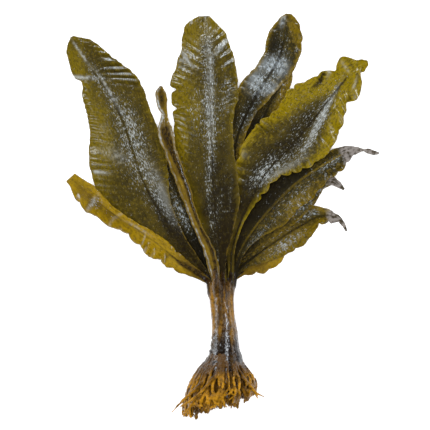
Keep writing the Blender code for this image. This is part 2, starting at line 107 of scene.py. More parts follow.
class Curve(IntEnum):
    """A blade's random curves, numbered from its seed. Two-sided ones take two numbers."""

    SIZE = 0
    SWELL = 2
    PLEAT = 3
    SKIN = 4
    JITTER = 5
    INNER = 7
    RAGGED = 9
    RAGGED_LONG = 10
    RIM = 11
    CRINKLE = 12
    GLEAM = 13
    FINER = 14


def smooth(value: Array | float) -> Array | float:
    """Smooth step of a value, from 0 at 0 to 1 at 1."""
    value = np.clip(value, 0.0, 1.0)
    return value * value * (3 - 2 * value)


def bell(value: Array, middle: float, width: float) -> Array:
    """Bell curve of a value, 1 at its middle."""
    return np.exp(-(((value - middle) / width) ** 2))


def unit(vectors: Array) -> Array:
    """The vectors scaled to length 1."""
    return vectors / np.maximum(np.linalg.norm(vectors, axis=-1), SMALLEST)[..., None]


def lattice(cells: Array, seed: int) -> Array:
    """Repeatable noise for whole-number cells.

    Args:
        cells: Cell numbers, of any shape.
        seed: Picks the sequence.

    Returns:
        A value from -1 to 1 for each cell.
    """
    mixed = np.sin(cells * HASH_STEP + seed * HASH_SEED) * HASH_SCALE
    return 2 * (mixed - np.floor(mixed)) - 1


def wander(at: Array, pitch: float, seed: int) -> Array:
    """Smooth random curve along one direction.

    Args:
        at: Distances to read.
        pitch: Length of one feature.
        seed: Picks the curve.

    Returns:
        A value from -1 to 1 for each distance.
    """
    cell = np.floor(at / pitch)
    share = smooth(at / pitch - cell)
    return lattice(cell, seed) * (1 - share) + lattice(cell + 1, seed) * share


def relief(x: Array, y: Array, pitch_x: float, pitch_y: float, seed: int) -> Array:
    """Smooth random surface with its own pitch in each direction.

    Args:
        x: First coordinate of each point.
        y: Second coordinate of each point.
        pitch_x: Length of one feature along the first.
        pitch_y: Length of one feature along the second.
        seed: Picks the surface.

    Returns:
        A value from -1 to 1 for each point.
    """
    u, v = x / pitch_x, y / pitch_y
    cu, cv = np.floor(u), np.floor(v)
    su, sv = smooth(u - cu), smooth(v - cv)

    def corner(du: int, dv: int) -> Array:
        """The lattice value at one corner of each cell."""
        return lattice((cu + du) * HASH_SKEW[0] + (cv + dv) * HASH_SKEW[1], seed)

    low = corner(0, 0) * (1 - su) + corner(1, 0) * su
    high = corner(0, 1) * (1 - su) + corner(1, 1) * su
    return low * (1 - sv) + high * sv


def through(knots: Array, values: Array, at: Array) -> Array:
    """Smooth curve through rows of values.

    Args:
        knots: Rising distances of the rows.
        values: One row of numbers for each knot.
        at: Distances to read.

    Returns:
        One row of numbers for each distance.
    """
    index = np.clip(np.searchsorted(knots, at, side="right") - 1, 0, len(knots) - 2)
    number = np.arange(len(knots))
    low = np.maximum(number - 1, 0)
    high = np.minimum(number + 1, len(knots) - 1)
    slope = (values[high] - values[low]) / (knots[high] - knots[low])[:, None]
    span = (knots[index + 1] - knots[index])[:, None]
    t = np.clip((at - knots[index])[:, None] / span, 0.0, 1.0)
    return (
        (2 * t**3 - 3 * t**2 + 1) * values[index]
        + (t**3 - 2 * t**2 + t) * span * slope[index]
        + (3 * t**2 - 2 * t**3) * values[index + 1]
        + (t**3 - t**2) * span * slope[index + 1]
    )


def placed(points: Array) -> Array:
    """Plan points in millimetres as scene points in metres."""
    return (points + PLAN_SHIFT) * MM


def new_object(name: str, data: bpy.types.ID) -> bpy.types.Object:
    """A new object in the scene, at the origin.

    Args:
        name: The object's name.
        data: Its mesh, light or camera.

    Returns:
        The object.
    """
    made = bpy.data.objects.new(name, data)
    bpy.context.scene.collection.objects.link(made)
    return made


def mesh_object(name: str, points: Array, faces: Sequence[Sequence[int]]) -> bpy.types.Object:
    """A smooth-shaded mesh object in the scene.

    Args:
        name: The piece's name.
        points: Vertices in plan millimetres.
        faces: Vertex numbers of each face.

    Returns:
        The new object.
    """
    mesh = bpy.data.meshes.new(name)
    mesh.from_pydata(placed(points).tolist(), [], faces)
    mesh.shade_smooth()
    return new_object(name, mesh)


def shell(middle: Array, thick: Array) -> tuple[Array, list[list[int]]]:
    """A closed skin around a sheet.

    Args:
        middle: Points of the sheet, rows along and columns across.
        thick: Thickness at each point.

    Returns:
        The vertices, those of the upper side first, and the faces.
    """
    rows, columns = middle.shape[:2]
    normal = unit(np.cross(np.gradient(middle, axis=1), np.gradient(middle, axis=0)))
    half = normal * thick[..., None] / 2
    points = np.concatenate([(middle + half).reshape(-1, 3), (middle - half).reshape(-1, 3)])
    points[:, 2] = np.maximum(points[:, 2], 0.0)
    number = np.arange(rows * columns).reshape(rows, columns)
    corners = (number[:-1, :-1], number[:-1, 1:], number[1:, 1:], number[1:, :-1])
    top = np.stack(corners, axis=-1).reshape(-1, 4)
    under = top[:, ::-1] + rows * columns
    ring = np.concatenate([number[0, :], number[1:, -1], number[-1, -2::-1], number[-2:0:-1, 0]])
    following = np.roll(ring, -1)
    painted_lit_rim = np.stack([following, ring, ring + rows * columns, following + rows * columns], axis=-1)
    return points, np.concatenate([top, under, painted_lit_rim]).tolist()


def give_attribute(mesh: bpy.types.Mesh, name: str, values: Array) -> None:
    """Stores one number for each vertex under a name that the materials read."""
    layer = mesh.attributes.new(name, "FLOAT", "POINT")
    layer.data.foreach_set("value", np.clip(values, 0.0, 1.0).astype(np.float32).ravel())


def settle(piece: bpy.types.Object, nodes: Iterable[str]) -> None:
    """Makes a piece ride on the plant and stand for its solids, which are hidden.

    Args:
        piece: The piece.
        nodes: Names of the solids.
    """
    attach(piece, BODY)
    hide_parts(*nodes)


class Wiring:
    """Adds nodes to one shader tree and joins them."""

    def __init__(self, tree: bpy.types.NodeTree) -> None:
        """Starts on a tree."""
        self.tree = tree

    def add(self, kind: str, **settings: object) -> bpy.types.Node:
        """A new node.

        Args:
            kind: The node's type.
            **settings: Properties to set on it.

        Returns:
            The node.
        """
        node = self.tree.nodes.new(kind)
        for key, value in settings.items():
            setattr(node, key, value)
        return node

    def feed(self, target: Socket, value: Value | Colour) -> None:
        """Links a socket to an input, or sets the input to a constant.

        Args:
            target: The input.
            value: A socket, a number or a colour.
        """
        if isinstance(value, bpy.types.NodeSocket):
            self.tree.links.new(value, target)
        elif isinstance(value, tuple) and target.type == "RGBA":
            target.default_value = (*value, 1.0)
        else:
            target.default_value = value

    def math(self, operation: str, first: Value, second: Value = 0.0, third: Value = 0.0) -> Socket:
        """One arithmetic step.

        Args:
            operation: The step's name.
            first: First value.
            second: Second value.
            third: Third value.

        Returns:
            The result.
        """
        node = self.add("ShaderNodeMath", operation=operation)
        for target, value in zip(node.inputs, (first, second, third)):
            self.feed(target, value)
        return node.outputs[0]

    def times(self, first: Value, second: Value) -> Socket:
        """The product of two values."""
        return self.math("MULTIPLY", first, second)

    def plus(self, first: Value, second: Value) -> Socket:
        """The sum of two values."""
        return self.math("ADD", first, second)

    def line(self, value: Value, slope: Value, base: Value) -> Socket:
        """A value times a slope, plus a base."""
        return self.math("MULTIPLY_ADD", value, slope, base)

    def span(self, value: Value, low: float, high: float) -> Socket:
        """Smooth step of a value.

        Args:
            value: What is read.
            low: Where the result is 0.
            high: Where the result is 1.

        Returns:
            The result.
        """
        node = self.add("ShaderNodeMapRange", interpolation_type="SMOOTHSTEP")
        self.feed(node.inputs["Value"], value)
        node.inputs["From Min"].default_value = low
        node.inputs["From Max"].default_value = high
        return node.outputs["Result"]

    def mix(self, share: Value, first: Value | Colour, second: Value | Colour) -> Socket:
        """A colour between two others.

        Args:
            share: How far from the first to the second.
            first: Colour at 0.
            second: Colour at 1.

        Returns:
            The colour.
        """
        node = self.add("ShaderNodeMix", data_type="RGBA", clamp_factor=True)
        self.feed(node.inputs[0], share)
        self.feed(node.inputs[6], first)
        self.feed(node.inputs[7], second)
        return node.outputs[2]

    def stored(self, name: str) -> Socket:
        """A number stored on the mesh's vertices."""
        return self.add("ShaderNodeAttribute", attribute_name=name).outputs["Fac"]

    def stretched(self, vector: Socket, scale: tuple[float, float, float]) -> Socket:
        """A texture position scaled along its axes.

        Args:
            vector: The position.
            scale: Factor along each axis.

        Returns:
            The scaled position.
        """
        node = self.add("ShaderNodeVectorMath", operation="MULTIPLY")
        self.feed(node.inputs[0], vector)
        node.inputs[1].default_value = scale
        return node.outputs[0]

    def noise(self, vector: Socket, scale: float, detail: float, rough: float = 0.5) -> Socket:
        """A noise pattern.

        Args:
            vector: The texture position.
            scale: How fine it is.
            detail: How many finer octaves it has.
            rough: How strong they are.

        Returns:
            Its value.
        """
        node = self.add("ShaderNodeTexNoise")
        self.feed(node.inputs["Vector"], vector)
        node.inputs["Scale"].default_value = scale
        node.inputs["Detail"].default_value = detail
        node.inputs["Roughness"].default_value = rough
        return node.outputs["Fac"]

    def group(self, tree: bpy.types.NodeTree, **values: Value) -> bpy.types.Node:
        """A group node.

        Args:
            tree: The group.
            **values: What its inputs get, by name.

        Returns:
            The node.
        """
        node = self.add("ShaderNodeGroup", node_tree=tree)
        for key, value in values.items():
            self.feed(node.inputs[key], value)
        return node


@dataclass
class Layers:
    """A skin colour that is built up from layers.

    Args:
        wiring: Where the nodes go.
        colour: The colour so far.
    """

    wiring: Wiring
    colour: Value | Colour

    def lay(self, mask: Value, colour: Value | Colour, strength: float = 1.0) -> None:
        """Covers what is there.

        Args:
            mask: Where the new colour goes.
            colour: The new colour.
            strength: How much it covers at most.
        """
        share = mask if strength == 1.0 else self.wiring.times(mask, strength)
        self.colour = self.wiring.mix(share, self.colour, colour)


@dataclass
class Effects:
    """The shader groups that several of the plant's finishes share, built once.

    Args:
        painted_glint_specks: Fine bright streaks painted as glints of light on the film of water.
        pleats: Long fine lines along the grain.
        wet_skin: Pebbled skin under small beads of water.
    """

    painted_glint_specks: bpy.types.NodeTree = field(init=False)
    pleats: bpy.types.NodeTree = field(init=False)
    wet_skin: bpy.types.NodeTree = field(init=False)

    def __post_init__(self) -> None:
        """Builds the groups."""
        self.painted_glint_specks = self._painted_glint_specks()
        self.pleats = self._pleats()
        self.wet_skin = self._wet_skin()

    @staticmethod
    def _new(
        name: str, inputs: Sequence[tuple[str, str]], outputs: Sequence[str]
    ) -> tuple[Wiring, dict[str, Socket], dict[str, Socket]]:
        """An empty group with its sockets.

        Args:
            name: The group's name.
            inputs: Name and socket type of each input.
            outputs: Names of the number outputs.

        Returns:
            The group's wiring, its input sockets by name and its output sockets by name.
        """
        tree = bpy.data.node_groups.new(name, "ShaderNodeTree")
        for label, kind in inputs:
            tree.interface.new_socket(label, in_out="INPUT", socket_type=kind)
        for label in outputs:
            tree.interface.new_socket(label, in_out="OUTPUT", socket_type="NodeSocketFloat")
        wiring = Wiring(tree)
        entry, leave = wiring.add("NodeGroupInput"), wiring.add("NodeGroupOutput")
        return wiring, {s.name: s for s in entry.outputs}, {s.name: s for s in leave.inputs}

    def _painted_glint_specks(self) -> bpy.types.NodeTree:
        """Fine bright streaks, painted as glints of light, that crowd together as the amount goes from
        0 to 1.

        They run with the grain in the middle of a blade and across it where "Fold" is 1.

        Returns:
            The group.
        """
        wiring, given, made = self._new(
            "Painted Wet Glints",
            (
                ("Vector", "NodeSocketVector"),
                ("Amount", "NodeSocketFloat"),
                ("Fold", "NodeSocketFloat"),
            ),
            ("Mask",),
        )
        with_grain, across_grain = (1.0, 0.28, 1.0), (0.24, 0.9, 1.0)
        broad = wiring.noise(given["Vector"], 18.0, 2.0)
        masks = []
        for stretch in (with_grain, across_grain):
            fine = wiring.noise(wiring.stretched(given["Vector"], stretch), 112.0, 2.0, 0.7)
            blend = wiring.line(broad, 0.22, wiring.times(fine, 0.78))
            lifted = wiring.line(given["Amount"], 0.19, blend)
            masks.append(wiring.span(lifted, 0.645, 0.775))
        share = wiring.times(wiring.math("SUBTRACT", masks[1], masks[0]), given["Fold"])
        wiring.feed(made["Mask"], wiring.plus(masks[0], share))
        return wiring.tree

    def _pleats(self) -> bpy.types.NodeTree:
        """Long fine lines that run with the grain, as height and as a mask of the dark lines.

        Returns:
            The group.
        """
        wiring, given, made = self._new(
            "Grain Pleats", (("Vector", "NodeSocketVector"),), ("Height", "Lines")
        )
        fine = wiring.noise(wiring.stretched(given["Vector"], (1.0, 0.05, 1.0)), 95.0, 2.0)
        coarse = wiring.noise(wiring.stretched(given["Vector"], (1.0, 0.09, 1.0)), 38.0, 2.0)
        both = wiring.line(coarse, 0.5, wiring.times(fine, 0.5))
        wiring.feed(made["Height"], both)
        wiring.feed(made["Lines"], wiring.span(both, 0.50, 0.34))
        return wiring.tree

    def _wet_skin(self) -> bpy.types.NodeTree:
        """Pebbled skin under small beads of water, as height.

        Returns:
            The group.
        """
        wiring, given, made = self._new("Wet Skin", (("Vector", "NodeSocketVector"),), ("Height",))
        pebbles = wiring.noise(given["Vector"], 60.0, 3.0, 0.6)
        cells = wiring.add("ShaderNodeTexVoronoi", feature="SMOOTH_F1")
        wiring.feed(cells.inputs["Vector"], given["Vector"])
        cells.inputs["Scale"].default_value = 52.0
        cells.inputs["Smoothness"].default_value = 0.35
        beads = wiring.span(cells.outputs["Distance"], 0.34, 0.10)
        folds = wiring.noise(wiring.stretched(given["Vector"], (1.0, 0.8, 1.0)), 26.0, 1.0)
        creases = wiring.math("ABSOLUTE", wiring.line(folds, 2.0, -1.0))
        height = wiring.line(beads, 0.4, wiring.times(pebbles, 0.7))
        wiring.feed(made["Height"], wiring.line(creases, -1.6, height))
        return wiring.tree


@dataclass(frozen=True)
class Gloss:
    """What is the same all over a wet skin.

    Args:
        specular: Level of the skin's own reflection.
        coat_roughness: Roughness of the film of water on it.
        depth: Depth of the finest relief, in metres.
    """

    specular: float
    coat_roughness: float
    depth: float


@dataclass
class WetSurface:
    """A new material for a skin under a film of water.

    Args:
        name: The material's name.
        gloss: What is the same all over it.
    """

    name: str
    gloss: Gloss
    made: bpy.types.Material = field(init=False)
    wiring: Wiring = field(init=False)

    def __post_init__(self) -> None:
        """Starts with an empty shader tree."""
        self.made = bpy.data.materials.new(self.name)
        self.made.use_nodes = True
        self.made.node_tree.nodes.clear()
        self.wiring = Wiring(self.made.node_tree)

    def close(self, colour: Value | Colour, roughness: Value, coat: Value, height: Value) -> None:
        """Joins the finish's maps to the shader.

        Args:
            colour: Colour of the skin.
            roughness: Roughness of the skin.
            coat: How much water lies on it.
            height: Its relief.
        """
        wiring = self.wiring
        bump = wiring.add("ShaderNodeBump")
        bump.inputs["Strength"].default_value = BUMP_STRENGTH
        bump.inputs["Distance"].default_value = self.gloss.depth
        wiring.feed(bump.inputs["Height"], height)
        shader = wiring.add("ShaderNodeBsdfPrincipled")
        shader.inputs["Specular IOR Level"].default_value = self.gloss.specular
        shader.inputs["Coat Roughness"].default_value = self.gloss.coat_roughness
        wiring.feed(shader.inputs["Base Color"], colour)
        wiring.feed(shader.inputs["Roughness"], roughness)
        wiring.feed(shader.inputs["Coat Weight"], coat)
        wiring.feed(shader.inputs["Normal"], bump.outputs["Normal"])
        wiring.feed(shader.inputs["Coat Normal"], bump.outputs["Normal"])
        output = wiring.add("ShaderNodeOutputMaterial")
        wiring.feed(output.inputs["Surface"], shader.outputs["BSDF"])


@dataclass(frozen=True)
class GrainPatterns:
    """What a blade's colour, relief and gloss are read from, laid along its grain.

    Args:
        grain: The texture position.
        broad: Slow change of tone.
        mottle: Blotches a few millimetres wide.
        ragged: Blotches of both sizes, around 0, that break up the edges of a tone.
        pleats: Height of the long fine lines.
        lines: Mask of their dark bottoms.
        pebbles: Height of the pebbled wet skin.
        painted_glint_specks: Mask of the painted glints.
    """

    grain: Socket
    broad: Socket
    mottle: Socket
    ragged: Socket
    pleats: Socket
    lines: Socket
    pebbles: Socket
    painted_glint_specks: Socket


@dataclass(frozen=True)
class LaminaFinish:
    """The leathery skin of a blade under a film of water, with painted highlights and painted shade.

    Args:
        name: The material's name.
        slot: The record's material slot; not used.
        body: Colour of the middle of the blade.
        shade: Second colour that the middle wanders to.
        gold: Colour of the thin margins, partly their own paler tone and partly painted light that
            shines through them.
        dark: Colour of the deep brown places: dark lines and midribs, and painted shade near the
            crown, in fold valleys and under other blades.
        wet_and_painted_glint: Colour of the painted bluish glints that stand for light reflected in
            the film of water.
        painted_sheen_haze: Colour of the painted bluish veil between the glints.
        dry: Colour of the dried tips.
        withered: Colour of the furrows in them.
        painted_lit_rim: Colour of the painted highlight line on the very edge and of the fine painted
            golden glints.
        roughness: Roughness of the skin.
        gloss: What is the same all over it.
    """

    name: str
    slot: str
    body: Colour
    shade: Colour
    gold: Colour
    dark: Colour
    wet_and_painted_glint: Colour = (0.42, 0.47, 0.50)
    painted_sheen_haze: Colour = (0.060, 0.058, 0.030)
    dry: Colour = (0.24, 0.21, 0.19)
    withered: Colour = (0.030, 0.022, 0.012)
    painted_lit_rim: Colour = (0.26, 0.16, 0.010)
    roughness: float = 0.24
    gloss: Gloss = Gloss(specular=0.42, coat_roughness=0.10, depth=0.0008)

    def material(self, effects: Effects) -> bpy.types.Material:
        """Builds the blade material from the stored tones and the shared effects.

        Args:
            effects: The shared shader groups.

        Returns:
            The material.
        """
        surface = WetSurface(self.name, self.gloss)
        wiring = surface.wiring
        seen = self._patterns(wiring, effects)
        wet_and_painted_glint = wiring.stored(Tone.BLOOM.value)
        dry = wiring.span(wiring.plus(wiring.stored(Tone.DRY.value), seen.ragged), 0.2, 0.7)
        pebbled = wiring.times(seen.pebbles, wiring.line(wet_and_painted_glint, 0.9, 0.07))
        rough = wiring.line(seen.mottle, 0.16, self.roughness - 0.08)
        surface.close(
            colour=self._colour(wiring, seen, wet_and_painted_glint, dry),
            roughness=wiring.line(dry, 0.35, rough),
            coat=wiring.line(dry, -0.26, wiring.line(wet_and_painted_glint, 0.30, 0.26)),
            height=wiring.line(seen.pleats, 0.35, pebbled),
        )
        return surface.made

    @staticmethod
    def _patterns(wiring: Wiring, effects: Effects) -> GrainPatterns:
        """Lays the patterns along the blade's grain map.

        Args:
            wiring: Where the nodes go.
            effects: The shared shader groups.

        Returns:
            The patterns.
        """
        grain = wiring.add("ShaderNodeUVMap", uv_map=GRAIN_MAP).outputs["UV"]
        broad = wiring.noise(grain, 7.0, 3.0)
        mottle = wiring.noise(grain, 26.0, 3.0, 0.6)
        pleats = wiring.group(effects.pleats, Vector=grain)
        skin = wiring.group(effects.wet_skin, Vector=grain)
        amount, fold = wiring.stored(Tone.BLOOM.value), wiring.stored(FOLD_MASK)
        painted_glint_specks = wiring.group(effects.painted_glint_specks, Vector=grain, Amount=amount, Fold=fold)
        return GrainPatterns(
            grain=grain,
            broad=broad,
            mottle=mottle,
            ragged=wiring.plus(mottle, wiring.plus(broad, -1.0)),
            pleats=pleats.outputs["Height"],
            lines=pleats.outputs["Lines"],
            pebbles=skin.outputs["Height"],
            painted_glint_specks=painted_glint_specks.outputs["Mask"],
        )

    def _colour(self, wiring: Wiring, seen: GrainPatterns, wet_and_painted_glint: Socket, dry: Socket) -> Socket:
        """Builds up the blade's colour.

        Args:
            wiring: Where the nodes go.
            seen: The patterns.
            wet_and_painted_glint: How much water film and painted glint each place has.
            dry: How dried each place is.

        Returns:
            The colour.
        """
        gold = wiring.plus(wiring.stored(Tone.GOLD.value), wiring.times(seen.ragged, 0.8))
        dark = wiring.plus(wiring.stored(Tone.DARK.value), wiring.times(seen.ragged, 0.9))
        painted_gold_glints = wiring.noise(wiring.stretched(seen.grain, (1.0, 0.45, 1.0)), 84.0, 2.0, 0.65)
        grit = wiring.noise(wiring.stretched(seen.grain, (1.0, 0.5, 1.0)), 52.0, 3.0, 0.68)
        skin = Layers(wiring, wiring.mix(wiring.span(seen.broad, 0.36, 0.66), self.body, self.shade))
        skin.lay(wiring.span(seen.mottle, 0.50, 0.66), self.gold, 0.55)
        skin.lay(seen.lines, self.dark, 0.55)
        # Golden tone, partly painted light through the thin margins.
        skin.lay(wiring.span(gold, 0.12, 0.85), self.gold)
        # Fine golden glints, painted highlights in the lit-rim colour.
        skin.lay(wiring.span(painted_gold_glints, 0.58, 0.72), self.painted_lit_rim, 0.55)
        # Dark tone, partly painted shade.
        skin.lay(wiring.span(dark, 0.12, 0.95), self.dark)
        skin.lay(wiring.span(grit, 0.56, 0.36), self.shade, 0.65)
        # Painted highlight line on the very edge.
        skin.lay(wiring.stored(PAINTED_LIT_RIM_MASK), self.painted_lit_rim, 0.7)
        # Painted bluish veil of sheen over the glinting places.
        skin.lay(wet_and_painted_glint, self.painted_sheen_haze, 0.22)
        # Painted glints: bright bluish specks that stand for light reflected in the film of water.
        skin.lay(seen.painted_glint_specks, self.wet_and_painted_glint, 0.75)
        # Painted brushed highlight on the fold crests and in patches.
        skin.lay(self._painted_sheen_mask(wiring, seen), self.wet_and_painted_glint)
        furrows = wiring.span(wiring.plus(seen.pleats, seen.mottle), 0.90, 1.16)
        skin.lay(dry, wiring.mix(furrows, self.dry, self.withered), 0.9)
        return skin.colour

    @staticmethod
    def _painted_sheen_mask(wiring: Wiring, seen: GrainPatterns) -> Socket:
        """Mask of the painted brushed highlight, whole on the folds and broken up elsewhere.

        Args:
            wiring: Where the nodes go.
            seen: The patterns.

        Returns:
            The mask.
        """
        brushed = wiring.line(seen.pleats, 1.5, -0.05)
        broken = wiring.line(wiring.span(seen.mottle, 0.40, 0.60), 0.8, 0.2)
        broken = wiring.math("MAXIMUM", broken, wiring.stored(FOLD_MASK))
        return wiring.times(wiring.stored(Tone.PAINTED_SHEEN.value), wiring.times(brushed, broken))


@dataclass(frozen=True)
class WoodyFinish:
    """The skin of the stipe or of the haptera, brown to golden, pebbled and under a film of water,
    with painted glints and painted shade.

    Args:
        name: The material's name.
        slot: The record's material slot; not used.
        brown: Colour of the old skin.
        gold: Colour where the stored tone "gold" is full.
        deep: Colour of the darkest places: random blotches, and painted shade in the hollows and under
            the crown.
        wet_and_painted_specks: Colour of the painted bright glints that stand for light reflected in
            the film of water.
        stretch: Scale of the grain along x, y and z, so that it runs with the piece.
        roughness: Roughness of the skin.
        gloss: What is the same all over it.
    """

    name: str
    slot: str
    brown: Colour
    gold: Colour
    deep: Colour
    wet_and_painted_specks: Colour
    stretch: tuple[float, float, float]
    roughness: float
    gloss: Gloss = Gloss(specular=0.28, coat_roughness=0.12, depth=0.0012)

    def material(self, effects: Effects) -> bpy.types.Material:
        """Builds the material, with its patterns laid in the plant's own space.

        Args:
            effects: The shared shader groups.

        Returns:
            The material.
        """
        surface = WetSurface(self.name, self.gloss)
        wiring = surface.wiring
        place = wiring.add("ShaderNodeTexCoord").outputs["Object"]
        scaled = wiring.stretched(place, (10.0, 10.0, 10.0))
        grain = wiring.stretched(scaled, self.stretch)
        broad = wiring.noise(grain, 12.0, 3.0)
        mottle = wiring.noise(grain, 45.0, 3.0, 0.6)
        wet_and_painted_glint = wiring.stored(Tone.BLOOM.value)
        skin = wiring.group(effects.wet_skin, Vector=scaled)
        painted_glint_specks = wiring.group(effects.painted_glint_specks, Vector=grain, Amount=wet_and_painted_glint, Fold=0.0)
        gold = wiring.line(mottle, 0.5, wiring.plus(wiring.stored(Tone.GOLD.value), -0.25))
        dark = wiring.line(mottle, 0.3, wiring.plus(wiring.stored(Tone.DARK.value), -0.15))
        layers = Layers(wiring, self.brown)
        layers.lay(wiring.span(gold, 0.05, 0.9), self.gold)
        layers.lay(wiring.span(broad, 0.5, 0.68), self.deep, 0.5)
        # Dark tone: random blotches, and painted shade in the hollows and under the crown.
        layers.lay(wiring.span(dark, 0.1, 0.9), self.deep)
        layers.lay(wiring.span(mottle, 0.50, 0.34), self.deep, 0.5)
        # Painted glints: bright specks that stand for light reflected in the film of water.
        layers.lay(painted_glint_specks.outputs["Mask"], self.wet_and_painted_specks)
        pebbled = wiring.line(mottle, 0.9, skin.outputs["Height"])
        surface.close(
            colour=layers.colour,
            roughness=wiring.line(mottle, 0.2, self.roughness - 0.1),
            coat=wiring.line(wet_and_painted_glint, 0.7, 0.08),
            height=wiring.times(wiring.line(wet_and_painted_glint, 0.7, 0.2), pebbled),
        )
        return surface.made


OLIVE = LaminaFinish(
    name="lamina_olive",
    slot="lamina_olive",
    body=(0.060, 0.041, 0.0022),
    shade=(0.034, 0.024, 0.0025),
    gold=(0.145, 0.100, 0.0010),
    dark=(0.010, 0.006, 0.002),
    wet_and_painted_glint=(0.43, 0.45, 0.44),
)
# A copy of the olive skin with brighter golden margins, painted as a more strongly lit blade.
PAINTED_LIT_OLIVE = replace(OLIVE, name="lamina_olive_painted_lit", gold=(0.225, 0.158, 0.0008))
GOLDEN = LaminaFinish(
    name="lamina_golden",
    slot="lamina_golden",
    body=(0.160, 0.096, 0.0025),
    shade=(0.088, 0.051, 0.003),
    gold=(0.27, 0.165, 0.0015),
    dark=(0.018, 0.010, 0.002),
)
BROWN = LaminaFinish(
    name="lamina_brown",
    slot="lamina_brown",
    body=(0.032, 0.023, 0.003),
    shade=(0.019, 0.014, 0.003),
    gold=(0.150, 0.096, 0.002),
    dark=(0.006, 0.004, 0.0015),
)
STIPE_SKIN = WoodyFinish(
    name="stipe_skin",
    slot="stipe",
    brown=(0.036, 0.016, 0.003),
    gold=(0.260, 0.122, 0.005),
    deep=(0.007, 0.0035, 0.0015),
    wet_and_painted_specks=(0.42, 0.43, 0.45),
    stretch=(1.0, 0.7, 1.0),
    roughness=0.28,
)
HAPTERA_SKIN = WoodyFinish(
    name="haptera_skin",
    slot="holdfast",
    brown=(0.085, 0.038, 0.006),
    gold=(0.44, 0.205, 0.008),
    deep=(0.013, 0.0055, 0.002),
    wet_and_painted_specks=(0.34, 0.31, 0.28),
    stretch=(1.0, 1.0, 1.0),
    roughness=0.30,
)


@dataclass(frozen=True)
class Patch:
    """A soft-edged oval of one tone on a blade.

    Args:
        tone: What is laid there.
        x: Middle, in plan millimetres.
        y: Middle, in plan millimetres.
        length: Half the length.
        width: Half the width.
        heading: Direction of the length, in degrees from the x axis.
        strength: Most that the tone reaches.
    """

    tone: Tone
    x: float
    y: float
    length: float
    width: float
    heading: float
    strength: float = 1.0

    def over(self, x: Array, y: Array) -> Array:
        """Lays the patch.

        Args:
            x: Plan x of each point.
            y: Plan y of each point.

        Returns:
            How much of the tone each point gets.
        """
        turn = math.radians(self.heading)
        dx, dy = x - self.x, y - self.y
        along = (dx * math.cos(turn) + dy * math.sin(turn)) / self.length
        aside = (dy * math.cos(turn) - dx * math.sin(turn)) / self.width
        return self.strength * np.exp(-((along**2 + aside**2) ** 1.1))


@dataclass(frozen=True)
class Ruffle:
    """The frill of a blade's margins.

    Args:
        pitch: Length of one fold along the margin.
        rise: Height of the folds.
        lobe: How far the outline swells between folds.
        inner: Share of the half width where the folds begin.
        start: Distance from the crown where they begin.
        left: Strength on the left margin.
        right: Strength on the right margin.
        lean: How far the right margin's folds lead back to the crown from midrib to margin.
        left_lean: The same for the left margin.
        scallop: Length of one swelling of the outline.
    """

    pitch: float = 11.0
    rise: float = 1.5
    lobe: float = 1.0
    inner: float = 0.5
    start: float = 45.0
    left: float = 1.0
    right: float = 1.0
    lean: float = 4.0
    left_lean: float = 4.0
    scallop: float = 12.0


@dataclass(frozen=True)
class Nick:
    """A bay in a blade's outline, or a bulge where its depth is negative.

    Args:
        along: Distance of its middle from the crown.
        side: The margin that it is in.
        depth: How far in it reaches.
        reach: Half its length.
    """

    along: float
    side: Side
    depth: float
    reach: float


@dataclass(frozen=True)
class Surge:
    """A stretch of a margin where the frill stands higher and reaches further in.

    Args:
        along: Distance of its middle from the crown.
        side: Which margin.
        reach: Half its length.
        strength: How much it adds to the frill.
    """

    along: float
    side: Side
    reach: float
    strength: float


@dataclass
class Grid:
    """The working grid of a blade's middle surface, rows along and columns across.

    Args:
        length: Length of the centre line.
        along: Distance of each point from the crown.
        across: Place of each point from the left margin, -1, to the right one, 1.
        numbers: The station numbers, read for each row.
        side: Plan direction across the blade for each row.
    """

    length: float
    along: Array
    across: Array
    numbers: Array
    side: Array
    right: Array = field(init=False)
    out: Array = field(init=False)
    reach: Array = field(init=False)
    rise: Array = field(init=False)

    def __post_init__(self) -> None:
        """Splits the stations' two sides over the grid."""
        self.right = self.across > 0
        self.out = np.abs(self.across)
        self.reach = np.where(self.right, self.numbers[:, 4:5], self.numbers[:, 3:4])
        self.rise = np.where(self.right, self.numbers[:, 6:7], self.numbers[:, 5:6])

    def on(self, side: Side) -> Array:
        """Which points lie on a side of the midrib."""
        return self.right if side is Side.RIGHT else ~self.right

    def sided(self, at: Array, pitch: float, seed: int) -> Array:
        """Random curves along the blade, one for each side, with seeds that follow each other."""
        return np.where(self.right, wander(at, pitch, seed), wander(at, pitch, seed + 1))


@dataclass(frozen=True)
class Folds:
    """The folds of a frill over a blade's grid.

    Args:
        phase: Place in the run of folds, in turns.
        gain: Strength of the frill.
        size: Size of the fold next to its neighbours.
        surge: What the surges add.
        margin: How far a fold has risen, from 0 at its inner end to 1 at the margin.
    """

    phase: Array
    gain: Array
    size: Array
    surge: Array
    margin: Array


